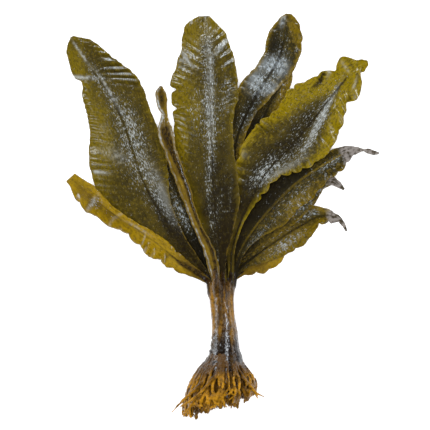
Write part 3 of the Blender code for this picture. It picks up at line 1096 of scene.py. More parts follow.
@dataclass
class Blade:
    """One blade, as a sheet that follows measured stations and is frilled, pleated and thickened.

    Args:
        name: The piece's name, which is also its solid's.
        finish: The skin.
        stations: Rows of x, y, z, left and right reach, left and right rise.
        ruffle: The frill of the margins.
        seed: Picks the wandering of folds and pleats.
        patches: Places where a tone is laid.
        nicks: Bays in the outline, or bulges where their depth is negative.
        surges: Stretches with a stronger frill.
        edge_gold: Strength of the golden margin, partly paler tissue and partly painted light that
            shines through it.
        edge_width: How far in it reaches.
        painted_lit_rim: Strength of the painted highlight line on the very edge.
        rib: Height of the midrib.
        rib_tone: Tone of the midrib.
        rib_strength: Strength of that tone.
        rib_width: Half width of that tone.
        foot_painted_shade: Strength of the painted shade near the crown, where the blades lie over
            each other.
        foot_length: How far from the crown it reaches.
        dry_from: Distance from the crown where the dried tip begins.
        fold_painted_highlight: Strength of the painted glints and highlights on the crests of the
            folds.
        dew_and_painted_glint: Amount of water film and painted glints over the rest of the blade.
        left_painted_gleam: Strength of the painted highlight line along the left margin.
        right_dark: Strength of the dark line right of the middle and of the painted highlight line
            beside it.
        swell: Height of the slow waves of the surface.
        crinkle: Height of the fine waves of the margin.
        pleat: Height of the pleats.
        thickness: Thickness of the middle.
        margin: Thickness of the margin.
        foot_thick: Thickness at the crown.
        step: Size of the mesh's cells.
    """

    name: str
    finish: LaminaFinish
    stations: tuple[tuple[float, ...], ...]
    ruffle: Ruffle
    seed: int
    patches: tuple[Patch, ...] = ()
    nicks: tuple[Nick, ...] = ()
    surges: tuple[Surge, ...] = ()
    edge_gold: float = 0.8
    edge_width: float = 7.0
    painted_lit_rim: float = 0.6
    rib: float = 0.35
    rib_tone: Tone = Tone.DARK
    rib_strength: float = 0.5
    rib_width: float = 0.9
    foot_painted_shade: float = 0.8
    foot_length: float = 60.0
    dry_from: float = 1e9
    fold_painted_highlight: float = 0.5
    dew_and_painted_glint: float = 0.17
    left_painted_gleam: float = 0.0
    right_dark: float = 0.0
    swell: float = 1.3
    crinkle: float = 0.28
    pleat: float = 0.06
    thickness: float = 1.5
    margin: float = 0.8
    foot_thick: float = 2.8
    step: float = 1.15

    def run(self) -> tuple[Array, Array]:
        """Reads the stations.

        Returns:
            Their distances from the crown, and their numbers.
        """
        rows = np.array(self.stations)
        parts = np.linalg.norm(np.diff(rows[:, :2], axis=0), axis=1)
        return np.concatenate([[0.0], np.cumsum(parts)]), rows

    def centre(self, at: Array) -> Array:
        """Centre line points at distances from the crown."""
        knots, rows = self.run()
        return through(knots, rows[:, :3], at)

    def sheet(self) -> tuple[Array, dict[str, Array]]:
        """Lays out the blade's middle surface.

        Returns:
            Points as rows along and columns across, and numbers for each point by name.
        """
        grid = self._grid()
        folds = self._folds(grid)
        wide = self._width(grid, folds)
        aside, up = self.bend(grid.across, wide, grid.along)
        x = grid.numbers[:, 0:1] + grid.side[:, 0:1] * aside
        y = grid.numbers[:, 1:2] + grid.side[:, 1:2] * aside
        z = self._height(grid, folds, wide, aside, np.stack([x, y])) + up
        told = self._tones(grid, folds, wide, aside, np.stack([x, y]))
        told.update(self._masks(grid, wide * (1 - grid.out)))
        told["u"] = aside / GRAIN_UNIT + self.seed * 0.37
        told["v"] = grid.along / GRAIN_UNIT
        clear = 0.5 * told["thick"] + 0.1
        return np.stack([x, y, np.maximum(z, clear)], axis=-1), told

    def _grid(self) -> Grid:
        """Lays the grid along the stations.

        Returns:
            The grid, whose rows turn to the x axis at the crown.
        """
        knots, rows = self.run()
        length = knots[-1]
        row_count = int(length / self.step) + 1
        column_count = max(12, int(np.max(rows[:, 3] + rows[:, 4]) / self.step))
        along = np.linspace(0.0, length, row_count)
        across = np.linspace(-1.0, 1.0, column_count)
        ahead = through(knots, rows[:, :2], np.minimum(along + 1.5, length))
        behind = through(knots, rows[:, :2], np.maximum(along - 1.5, 0.0))
        heading = unit(ahead - behind)
        side = np.stack([heading[:, 1], -heading[:, 0]], axis=1)
        turn = smooth(along / 12.0)[:, None]
        return Grid(
            length=length,
            along=np.repeat(along[:, None], column_count, axis=1),
            across=np.repeat(across[None, :], row_count, axis=0),
            numbers=through(knots, rows, along),
            side=unit(side * turn + np.array((1.0, 0.0)) * (1 - turn)),
        )

    def _folds(self, grid: Grid) -> Folds:
        """Runs the frill's folds over the grid.

        Args:
            grid: The blade's grid.

        Returns:
            The folds.
        """
        frill, a = self.ruffle, grid.along
        free = smooth((a - frill.start) / 25.0) * smooth((grid.length - a) / 12.0)
        surge = np.zeros_like(a)
        for stretch in self.surges:
            local = grid.on(stretch.side) * stretch.strength * bell(a, stretch.along, stretch.reach)
            surge = surge + local
        led = a + np.where(grid.right, frill.lean, frill.left_lean) * (grid.out - 1)
        jitter = grid.sided(led, 26.0, self.seed + Curve.JITTER)
        finer = grid.sided(led, 13.0, self.seed + Curve.FINER)
        inner = frill.inner + 0.25 * grid.sided(led, 9.0, self.seed + Curve.INNER)
        inner = inner * (1 - 0.9 * np.minimum(surge, 1.0))
        size = 0.7 + 0.75 * grid.sided(led, 17.0, self.seed + Curve.SIZE)
        return Folds(
            phase=np.where(grid.right, 0.37, 0.0) + led / frill.pitch + 0.9 * jitter + 0.5 * finer,
            gain=np.where(grid.right, frill.right, frill.left) * free,
            size=np.maximum(size, 0.1),
            surge=surge,
            margin=smooth((grid.out - inner) / (1 - inner)),
        )

    def _width(self, grid: Grid, folds: Folds) -> Array:
        """Reach of each margin with its scallops, tatters and bays.

        Args:
            grid: The blade's grid.
            folds: The frill's folds.

        Returns:
            Distance from the midrib to the margin for each point.
        """
        a = grid.along
        drift = 0.45 * wander(a, 26.0, self.seed + Curve.JITTER)
        scallops = a / self.ruffle.scallop + np.where(grid.right, 0.3, 0.0) + drift
        lobes = np.abs(np.sin(math.pi * scallops)) ** 0.7 - 0.6
        ragged = wander(a, 3.1, self.seed + Curve.RAGGED)
        ragged = ragged + wander(a, 7.0, self.seed + Curve.RAGGED_LONG)
        swelling = self.ruffle.lobe * folds.gain * folds.size * lobes
        swelling = swelling + 0.45 * ragged * smooth((a - 12.0) / 20.0)
        for nick in self.nicks:
            bay = grid.on(nick.side) * nick.depth * bell(a, nick.along, nick.reach)
            swelling = swelling - bay
        return np.maximum(grid.reach + swelling * smooth(grid.reach / 6.0), 0.3)

    def _height(self, grid: Grid, folds: Folds, wide: Array, aside: Array, plan: Array) -> Array:
        """Height of a flat section with its folds, swells, pleats and rib.

        Args:
            grid: The blade's grid.
            folds: The frill's folds.
            wide: Distance from the midrib to the margin.
            aside: Offset of each point across the blade.
            plan: Plan x and y of each point.

        Returns:
            The height of each point.
        """
        a, out, seed = grid.along, grid.out, self.seed
        fold = (folds.gain * folds.size + folds.surge) * np.sin(math.tau * folds.phase) * folds.margin
        swell = relief(plan[0], plan[1], 31.0, 24.0, seed + Curve.SWELL) * (0.4 + 0.6 * out)
        pleats = self.pleat * relief(aside, a, 2.4, 34.0, seed + Curve.PLEAT)
        pleats = pleats + 0.04 * relief(aside, a, 1.9, 2.8, seed + Curve.SKIN)
        crinkle = np.sin(math.tau * a / 3.9 + 2.0 * wander(a, 9.0, seed + Curve.CRINKLE))
        near_edge = smooth((wide - out * wide) / -3.2 + 1.0) * smooth((a - 12.0) / 20.0)
        z = grid.numbers[:, 2:3] + grid.rise * out**1.6 + self.ruffle.rise * fold
        z = z + self.swell * smooth((a - 30.0) / 40.0) * swell
        z = z + pleats * smooth(grid.reach / 8.0)
        z = z + self.crinkle * crinkle * near_edge
        return z + self.rib * bell(aside, 0.0, 1.5) * smooth((grid.length - a) / 40.0)

    def _tones(
        self, grid: Grid, folds: Folds, wide: Array, aside: Array, plan: Array
    ) -> dict[str, Array]:
        """Lays the tones over the blade.

        Args:
            grid: The blade's grid.
            folds: The frill's folds.
            wide: Distance from the midrib to the margin.
            aside: Offset of each point across the blade.
            plan: Plan x and y of each point.

        Returns:
            Each tone's share from 0 to 1, by name.
        """
        a, edge = grid.along, wide * (1 - grid.out)
        # Fold crests get painted glints and highlights, and fold valleys get painted shade.
        high = folds.margin**0.8 * (0.7 * folds.gain * folds.size + folds.surge)
        high = np.clip(high * smooth((edge - 0.6) / 2.5), 0.0, 1.0)
        painted_crest_highlight = high**0.8 * np.clip(-np.cos(math.tau * folds.phase), 0.0, 1.0)
        painted_trough_shade = high * np.clip(np.cos(math.tau * folds.phase), 0.0, 1.0)
        # Painted glints over the rest of the blade, away from its margins and crown.
        dew_and_painted_glint = self.dew_and_painted_glint * smooth((edge - 3.0) / 9.0) * smooth((a - 40.0) / 60.0)
        # Golden margin: partly paler tissue and partly painted light that shines through it.
        glow = np.exp(-((edge / self.edge_width) ** 1.3)) * smooth((a - 26.0) / 44.0)
        # Painted shade near the crown, where the blades lie over each other.
        shaded = 1 - smooth((a - self.foot_length * 0.35) / self.foot_length)
        tones = {
            Tone.GOLD: self.edge_gold * glow,
            Tone.DARK: self.foot_painted_shade * shaded,
            Tone.BLOOM: 0.5 * self.fold_painted_highlight * painted_crest_highlight**2 + dew_and_painted_glint,
            Tone.DRY: smooth((a - self.dry_from) / 14.0),
            Tone.PAINTED_SHEEN: self.fold_painted_highlight * painted_crest_highlight**6,
        }
        # Patches lay painted glints, painted sheen, golden tone and dark places, most of them painted
        # shade.
        for patch in self.patches:
            tones[patch.tone] = tones[patch.tone] + patch.over(plan[0], plan[1])
        rib = self.rib_strength * bell(aside, 0.0, self.rib_width) * smooth((grid.length - a) / 50.0)
        tones[self.rib_tone] = tones[self.rib_tone] + rib
        if self.rib_tone is Tone.DARK:
            tones[Tone.BLOOM] = tones[Tone.BLOOM] * (1 - np.clip(1.3 * rib, 0.0, 1.0))
        # A dark line right of the middle, and a painted highlight line beside it.
        ridge = self.right_dark * smooth((175 - a) / 20)
        tones[Tone.DARK] = tones[Tone.DARK] + 0.45 * painted_trough_shade + ridge * bell(grid.across, 0.32, 0.26)
        # Painted highlight line along the left margin.
        painted_gleam = bell(edge, 1.6, 0.8) * (0.7 + 0.5 * wander(a, 5.0, self.seed + Curve.GLEAM))
        painted_gleam = self.left_painted_gleam * ~grid.right * painted_gleam + 0.5 * ridge * bell(grid.across, 0.80, 0.10)
        tones[Tone.PAINTED_SHEEN] = tones[Tone.PAINTED_SHEEN] + painted_gleam
        return {tone.value: np.clip(value, 0.0, 1.0) for tone, value in tones.items()}

    def _masks(self, grid: Grid, edge: Array) -> dict[str, Array]:
        """Finds the lit edge, the folds and the thickness.

        Args:
            grid: The blade's grid.
            edge: Distance of each point from its margin.

        Returns:
            The masks from 0 to 1 and the thickness in millimetres, by name.
        """
        a = grid.along
        broken = np.clip(0.5 + 0.9 * wander(a, 2.1, self.seed + Curve.RIM), 0.0, 1.0)
        foot = 1 - smooth(a / 36.0)
        lamina = self.margin + (self.thickness - self.margin) * smooth(edge / 9.0)
        return {
            # Painted highlight line on the very edge.
            PAINTED_LIT_RIM_MASK: self.painted_lit_rim * broken * bell(edge, 0.0, 0.8) * smooth((a - 12.0) / 25.0),
            FOLD_MASK: smooth((grid.out - 0.45) / 0.3) * smooth(grid.reach / 14.0),
            "thick": lamina * (1 - foot) + self.foot_thick * foot,
        }

    def bend(self, v: Array, wide: Array, a: Array) -> tuple[Array, Array]:
        """Offsets across the blade and upwards for a flat section."""
        return v * wide, np.zeros_like(v)

    def build(
        self, effects: Effects, skins: dict[str, bpy.types.Material]
    ) -> bpy.types.Object:
        """Makes the closed blade with its grain map, tones and skin.

        Args:
            effects: The shared shader groups.
            skins: Materials made so far, by name.

        Returns:
            The blade's object.
        """
        middle, told = self.sheet()
        made = mesh_object(self.name, *shell(middle, told["thick"]))
        mesh = made.data
        for name in (*(tone.value for tone in Tone), PAINTED_LIT_RIM_MASK, FOLD_MASK):
            give_attribute(mesh, name, np.concatenate([told[name].ravel()] * 2))
        self._map_grain(mesh, np.stack([told["u"].ravel(), told["v"].ravel()], axis=1))
        if self.finish.name not in skins:
            skins[self.finish.name] = self.finish.material(effects)
        mesh.materials.append(skins[self.finish.name])
        settle(made, (self.name,))
        LOG.info("%s: %d faces", self.name, len(mesh.polygons))
        return made

    @staticmethod
    def _map_grain(mesh: bpy.types.Mesh, grain: Array) -> None:
        """Stores where each corner lies along and across the blade.

        Args:
            mesh: The blade's mesh.
            grain: Place of each vertex of the upper side.
        """
        grain = np.concatenate([grain, grain + UNDERSIDE_SHIFT])
        corners = np.empty(len(mesh.loops), dtype=np.int32)
        mesh.loops.foreach_get("vertex_index", corners)
        layer = mesh.uv_layers.new(name=GRAIN_MAP)
        layer.data.foreach_set("uv", grain[corners].astype(np.float32).ravel())


@dataclass
class RolledBlade(Blade):
    """A blade whose margins stand up and roll in, so that it makes a channel.

    Args:
        roll: Half angle of the channel's arc at its foot, in degrees.
        opened: Distance from the crown where the channel has opened out.
    """

    roll: float = 100.0
    opened: float = 170.0

    def bend(self, v: Array, wide: Array, a: Array) -> tuple[Array, Array]:
        """Offsets of a section that is rolled up.

        Args:
            v: Place of each point from the left margin, -1, to the right one, 1.
            wide: Distance from the midrib to the margin.
            a: Distance of each point from the crown.

        Returns:
            Offsets across and upwards along the arc of the channel.
        """
        closed = (1 - 0.9 * smooth((a - self.opened + 45.0) / 45.0)) * smooth(a / 25.0)
        half = np.radians(self.roll) * closed + 0.02
        radius = wide / np.sin(np.minimum(half, math.pi / 2))
        return radius * np.sin(v * half), radius * (1 - np.cos(v * half)) * 0.55


LEFT_INNER = Blade(
    "blade_left_inner",
    BROWN,
    (
        (-4.5, -71.6, 11, 3, 3, 0, 0),
        (-4.7, -68, 11, 3, 3, 0, 0),
        (-9, -55, 9.4, 6, 3.5, -0.5, 0),
        (-18, -35, 7.8, 15, 7, -0.5, 0.5),
        (-29, -13, 6, 15, 8, -0.5, 1),
        (-40, 10, 5, 12, 9, 0, 1),
        (-50, 35, 4.4, 10, 8, 0, 1),
        (-59, 58, 4, 9, 6, -0.5, 1),
        (-67, 78, 3.6, 7, 5, -0.5, 0.5),
        (-73, 93, 3.2, 4, 3, 0, 0),
        (-76, 103, 2.8, 1.2, 1.2, 0, 0),
    ),
    Ruffle(rise=0.6, lobe=0.5, start=70.0),
    11,
    # Painted glints, and a painted shadow where it lies under the blades in front.
    (
        Patch(Tone.BLOOM, -62, 55, 38, 6, 112, 0.75),
        Patch(Tone.BLOOM, -38, -2, 24, 7, 118, 0.8),
        Patch(Tone.DARK, -28, -30, 26, 9, 120, 1),
    ),
    edge_gold=0.5,
    edge_width=3.0,
    foot_length=50.0,
)
BEHIND_UPPER = Blade(
    "blade_behind_upper",
    BROWN,
    (
        (3.5, -71.6, 11, 3, 3, 0, 0),
        (3.7, -68, 11, 3, 3, 0, 0),
        (7, -55, 9.4, 3, 3, 0, 0),
        (14, -15, 6.8, 5, 5, 0, 0),
        (21, 25, 6, 8, 8, 0, 0),
        (28, 60, 5.4, 13, 10, 0, 0),
        (36, 85, 5, 15, 10, -0.5, 0),
        (45, 105, 4.6, 13, 10, -0.5, 0.5),
        (54, 123, 4, 13, 11, -0.5, 0.5),
        (61, 139, 3.4, 11, 10, -0.5, 0),
        (65, 153, 2.8, 5, 6, 0, 0),
        (66, 160, 2.6, 1.5, 1.5, 0, 0),
    ),
    Ruffle(rise=0.6, lobe=0.6, start=100.0),
    23,
    # Golden tone, a painted glint, and a painted shadow along it where it lies under the blades in
    # front.
    (
        Patch(Tone.GOLD, 69, 132, 30, 5, 65, 1.2),
        Patch(Tone.BLOOM, 60, 125, 20, 5, 65, 0.5),
        Patch(Tone.DARK, 25, 50, 70, 14, 78, 1),
    ),
    foot_length=120.0,
    foot_painted_shade=1.0,
)
LOWER_UNDER = Blade(
    "blade_lower_under",
    GOLDEN,
    (
        (1.5, -71.6, 4.2, 3, 3, 0, 0),
        (2.2, -69, 3.6, 3, 3, 0, 0),
        (9, -65, 2.3, 3, 3, 0, 0),
        (21, -57, 1.9, 6, 4, 0, 0),
        (35, -51, 2, 9, 8, 0, 0),
        (48, -44, 1.8, 9, 9.5, 0, 0),
        (59, -35, 1.6, 8, 7, 0, 0),
        (70, -26, 1.5, 1.5, 1.5, 0, 0),
    ),
    Ruffle(pitch=14.0, rise=0.7, lobe=4.4, start=8.0, scallop=15.0),
    31,
    edge_gold=1.0,
    edge_width=12.0,
    foot_painted_shade=0.3,
    foot_length=20.0,
)
LEFT_LARGE = Blade(
    "blade_left_large",
    OLIVE,
    (
        (-8.8, -71.6, 15.6, 3.4, 3.4, 0, 0),
        (-9.4, -68, 15.6, 3.4, 3.4, 0, 0),
        (-18, -57, 14.8, 4.5, 4, 0, 0),
        (-30, -42, 14, 8, 5, 0, 0),
        (-48, -19, 13, 20, 9, -2, 0),
        (-64, 6, 12.5, 33, 15, -4, -1),
        (-79, 34, 12.5, 45, 27, -6, -2),
        (-89, 63, 12.5, 46, 31, -9, -2.5),
        (-99, 93, 11.5, 36, 30, -8.5, -2),
        (-112, 120, 9.5, 28, 32, -5, -1),
        (-129, 144, 7, 22, 24, -2, 1.5),
        (-142, 163, 4.6, 14.5, 18, 0, 2),
        (-147.5, 172.5, 3.6, 9, 10.5, 0, 1),
        (-150.5, 179, 3.2, 1.6, 2, 0, 0),
    ),
    Ruffle(
        pitch=8.0,
        rise=0.85,
        lobe=1.4,
        inner=0.3,
        start=60.0,
        left=0.4,
        right=0.55,
        lean=22.0,
        left_lean=-20.0,
    ),
    47,
    # Painted glints and sheen, golden tone, and painted shade near the crown.
    (
        Patch(Tone.BLOOM, -136, 155, 24, 4, 120, 0.3),
        Patch(Tone.BLOOM, -119, 130, 24, 7, 122, 0.45),
        Patch(Tone.BLOOM, -96, 96, 26, 13, 112, 0.6),
        Patch(Tone.BLOOM, -86, 60, 30, 16, 105, 0.6),
        Patch(Tone.BLOOM, -68, 28, 28, 14, 118, 0.42),
        Patch(Tone.BLOOM, -54, 2, 22, 8, 125, 0.5),
        Patch(Tone.BLOOM, -138, 137, 14, 2.5, 3, 0.6),
        Patch(Tone.PAINTED_SHEEN, -138, 138, 16, 1.8, 176, 0.9),
        Patch(Tone.PAINTED_SHEEN, -142, 163, 16, 1.2, 125, 0.9),
        Patch(Tone.PAINTED_SHEEN, -112, 122, 24, 1.4, 120, 0.7),
        Patch(Tone.PAINTED_SHEEN, -62, 26, 28, 5, 113, 0.4),
        Patch(Tone.PAINTED_SHEEN, -106, 60, 12, 6, 150, 0.35),
        Patch(Tone.GOLD, -122, 78, 50, 15, 97, 0.9),
        Patch(Tone.GOLD, -144, 152, 24, 10, 95, 0.6),
        Patch(Tone.DARK, -50, -10, 30, 10, 125, 0.8),
        Patch(Tone.DARK, -64, 14, 34, 18, 118, 0.35),
    ),
    (Nick(246, Side.LEFT, 7, 7),),
    (Surge(237, Side.RIGHT, 24, 1.2), Surge(150, Side.LEFT, 22, 0.75)),
    edge_gold=0.55,
    rib_strength=0.6,
    foot_painted_shade=0.7,
    fold_painted_highlight=1.2,
    step=0.98,
)
LEFT_STRAP = Blade(
    "blade_left_strap",
    GOLDEN,
    (
        (-11.8, -71.6, 20, 2.9, 2.9, 0, 0),
        (-12.4, -68, 20, 2.9, 2.9, 0, 0),
        (-21, -61, 19.6, 4, 4, -0.5, 0),
        (-38, -51, 18.2, 8, 7, -1, 0.5),
        (-52, -39, 17, 12, 7, -2, 0.5),
        (-67, -27, 16, 13, 8, -3, 0.5),
        (-82, -16, 15, 12, 6, -4, 0.5),
        (-97, -7, 14, 8, 5, -4, 0.5),
        (-110, 2, 13, 11, 6, -4, 0.5),
        (-124, 13, 12, 14, 8, -3, 0.5),
        (-137, 23, 10.5, 12, 10, -2, 0.5),
        (-147, 33, 9, 7, 7, -1, 0.5),
        (-151.5, 38, 8.4, 6, 5, 0, 0),
    ),
    Ruffle(pitch=17.0, rise=1.6, lobe=5.0, inner=0.1, start=25.0, right=0.3, lean=-8.0, scallop=21.0),
    59,
    # Painted glints and sheen, a golden band, and painted shade near the crown and between its lobes.
    (
        Patch(Tone.BLOOM, -127, 12, 9, 5, 40, 0.7),
        Patch(Tone.PAINTED_SHEEN, -84, -13, 12, 1.4, 150, 0.35),
        Patch(Tone.PAINTED_SHEEN, -130, 12, 9, 2, 55, 0.6),
        Patch(Tone.PAINTED_SHEEN, -103, 0, 8, 1.2, 35, 0.5),
        Patch(Tone.PAINTED_SHEEN, -78, -24, 5, 0.8, 70, 0.6),
        Patch(Tone.DARK, -32, -53, 22, 3.4, 150, 0.8),
        Patch(Tone.GOLD, -62, -37, 34, 6, 143, 1.3),
        Patch(Tone.DARK, -76, -30, 5, 2, 60, 0.5),
        Patch(Tone.DARK, -57, -44, 5, 2, 60, 0.5),
        Patch(Tone.DARK, -95, -15, 5, 2, 60, 0.4),
    ),
    edge_gold=0.9,
    edge_width=9.0,
    foot_painted_shade=0.4,
    foot_length=26.0,
)
LOWER_RIGHT = Blade(
    "blade_lower_right",
    BROWN,
    (
        (9, -71.6, 6.4, 2.9, 2.9, 0, 0),
        (9.4, -68, 6.6, 2.9, 2.9, 0, 0),
        (13, -60, 7, 3.6, 3.2, 0, 0),
        (20.5, -51, 7, 9, 4.4, -0.8, 0),
        (34, -40.5, 7, 14, 9.6, 0, -0.5),
        (50, -29, 6.6, 16, 15.6, 0, -1),
        (66, -18.5, 6, 17, 17.6, -0.5, -2),
        (82, -9, 5, 18, 15, -0.5, -2.5),
        (95, -2, 4.2, 12, 8, -0.5, -1.5),
        (107, -1, 3.4, 6.5, 7, 0, -1),
        (116, -4, 2.6, 3.5, 3.5, 0, 0),
        (121, -8, 2, 2, 2, 0, 0),
        (125, -16, 1.6, 0.9, 0.9, 0, 0),
    ),
    Ruffle(pitch=11.0, rise=1.4, lobe=4.6, inner=0.25, start=30.0, left=0.7, right=1.35, scallop=12.5),
    67,
    # Painted glints and golden tone.
    (
        Patch(Tone.BLOOM, 50, -20, 28, 5, 34, 0.85),
        Patch(Tone.BLOOM, 62, -31, 28, 7, 32, 0.8),
        Patch(Tone.BLOOM, 90, 2, 14, 5, 20, 0.7),
        Patch(Tone.GOLD, 72, -32, 30, 6, 38, 0.9),
        Patch(Tone.GOLD, 62, -24, 44, 16, 34, 0.5),
    ),
    rib_strength=0.9,
    edge_gold=0.9,
    edge_width=5.0,
    foot_painted_shade=0.5,
    foot_length=40.0,
    dry_from=118.0,
)
RIGHT_SHORT = Blade(
    "blade_right_short",
    BROWN,
    (
        (11, -71.6, 10.3, 2.9, 2.9, 0, 0),
        (11.4, -68, 10.4, 2.9, 2.9, 0, 0),
        (17, -45, 11.2, 3, 3, 0, 0),
        (40, -21, 11, 8, 8, 0, 0),
        (68, 3, 10, 12, 12, 0, 0),
        (86, 19, 8.8, 12, 10, 0, 0),
        (98, 30, 7.6, 9, 6, 0, 0),
        (109, 34.5, 6.2, 5, 5, 0, 0),
        (116, 31, 5.2, 3.2, 3.2, 0, 0),
        (122.5, 25.5, 4.4, 1, 1, 0, 0),
    ),
    Ruffle(rise=0.6, lobe=0.8, start=60.0),
    71,
    # Painted glints.
    (
        Patch(Tone.BLOOM, 82, 10, 20, 6, 42, 0.8),
        Patch(Tone.BLOOM, 100, 30, 12, 6, 30, 0.7),
    ),
    edge_gold=0.5,
    dry_from=140.0,
)
RIGHT_LONG = Blade(
    "blade_right_long",
    BROWN,
    (
        (10.4, -71.6, 14.7, 2.9, 2.9, 0, 0),
        (10.8, -68, 14.8, 2.9, 2.9, 0, 0),
        (13.5, -50, 15.4, 4.6, 4, 0, 0),
        (20, -32, 15.6, 9.3, 6, 0, 0),
        (30, -16, 15.2, 13, 11, -0.5, 0),
        (46, 4, 14.8, 19, 21, -1.5, -0.5),
        (62, 21, 14, 21, 21, -2, -0.5),
        (78, 35, 12.8, 16, 22, -2, -0.5),
        (96, 47, 11, 12, 16, -2, 0),
        (112, 56, 8.6, 10, 14, -1, 0),
        (125, 63, 6.4, 6.5, 8, 0, 0),
        (135, 65, 4.6, 3.5, 3.5, 0, 0),
        (142, 65, 3.2, 1, 1, 0, 0),
        (147, 64, 2.4, 2.6, 2.4, 0, 0),
        (152, 62.5, 1.8, 2.2, 2.2, 0, 0),
        (157.5, 62, 1.5, 0.9, 0.9, 0, 0),
    ),
    Ruffle(rise=1.2, lobe=1.8, start=80.0, left=0.5),
    83,
    # A painted shadow over its upper half, painted glints and golden tone.
    (
        Patch(Tone.DARK, 38, 10, 48, 13, 46, 1),
        Patch(Tone.DARK, 78, 45, 34, 8, 36, 0.9),
        Patch(Tone.BLOOM, 72, 14, 38, 11, 46, 0.52),
        Patch(Tone.BLOOM, 34, -24, 18, 4, 46, 0.65),
        Patch(Tone.BLOOM, 110, 52, 18, 4, 30, 0.7),
        Patch(Tone.GOLD, 76, 14, 32, 9, 44, 0.65),
    ),
    rib=0.6,
    rib_tone=Tone.GOLD,
    rib_strength=0.9,
    edge_gold=0.6,
    edge_width=3.0,
    foot_painted_shade=0.8,
    dew_and_painted_glint=0.08,
    dry_from=172.0,
)
UPPER_RIGHT = Blade(
    "blade_upper_right",
    BROWN,
    (
        (1.5, -71.6, 16.4, 2.9, 2.9, 0, 0),
        (1.7, -68, 16.4, 2.9, 2.9, 0, 0),
        (4.4, -55, 15, 3, 3, 0, 0),
        (7, -20, 13.2, 4.6, 4.6, 0, 0),
        (9, 25, 12.6, 7, 6, 0, 0),
        (12, 60, 12.4, 9, 7, 0, 0),
        (16, 80, 12.2, 11, 7.5, 0, -0.5),
        (25, 102, 11.8, 17, 8, -0.5, -1),
        (37, 124, 11, 19, 13, -1.5, -1.5),
        (48, 141, 9.8, 16, 16, -2, -2),
        (57, 157, 8, 16, 19, -2, -1.5),
        (62.8, 176, 5.6, 17.5, 18, -1, -1),
        (65.8, 190, 3.4, 12.5, 12.5, 0, 0),
        (66.6, 198, 2, 8, 7.5, 0, 0),
        (67, 202, 1.6, 3, 3, 0, 0),
    ),
    Ruffle(rise=1.0, lobe=0.8, start=110.0),
    97,
    # Painted glints and sheen, golden tone, and darker places.
    (
        Patch(Tone.BLOOM, 40, 131, 14, 12, 58, 0.8),
        Patch(Tone.BLOOM, 54, 151, 12, 11, 58, 0.8),
        Patch(Tone.BLOOM, 62, 170, 18, 8, 75, 0.3),
        Patch(Tone.BLOOM, 26, 98, 24, 8, 60, 0.6),
        Patch(Tone.GOLD, 72, 186, 16, 6, 110, 0.7),
        Patch(Tone.PAINTED_SHEEN, 47, 152, 8, 5, 30, 0.8),
        Patch(Tone.PAINTED_SHEEN, 59, 147, 9, 6, 60, 0.8),
        Patch(Tone.PAINTED_SHEEN, 34, 134, 10, 6, 60, 0.8),
        Patch(Tone.PAINTED_SHEEN, 46, 127, 9, 5, 20, 0.7),
        Patch(Tone.PAINTED_SHEEN, 61, 195, 6, 2.5, 75, 0.8),
        Patch(Tone.DARK, 52, 168, 24, 8, 72, 0.8),
        Patch(Tone.DARK, 26, 104, 22, 12, 62, 0.8),
    ),
    rib_strength=0.9,
    edge_gold=1.0,
    edge_width=3.6,
    foot_painted_shade=1.0,
    foot_length=90.0,
)
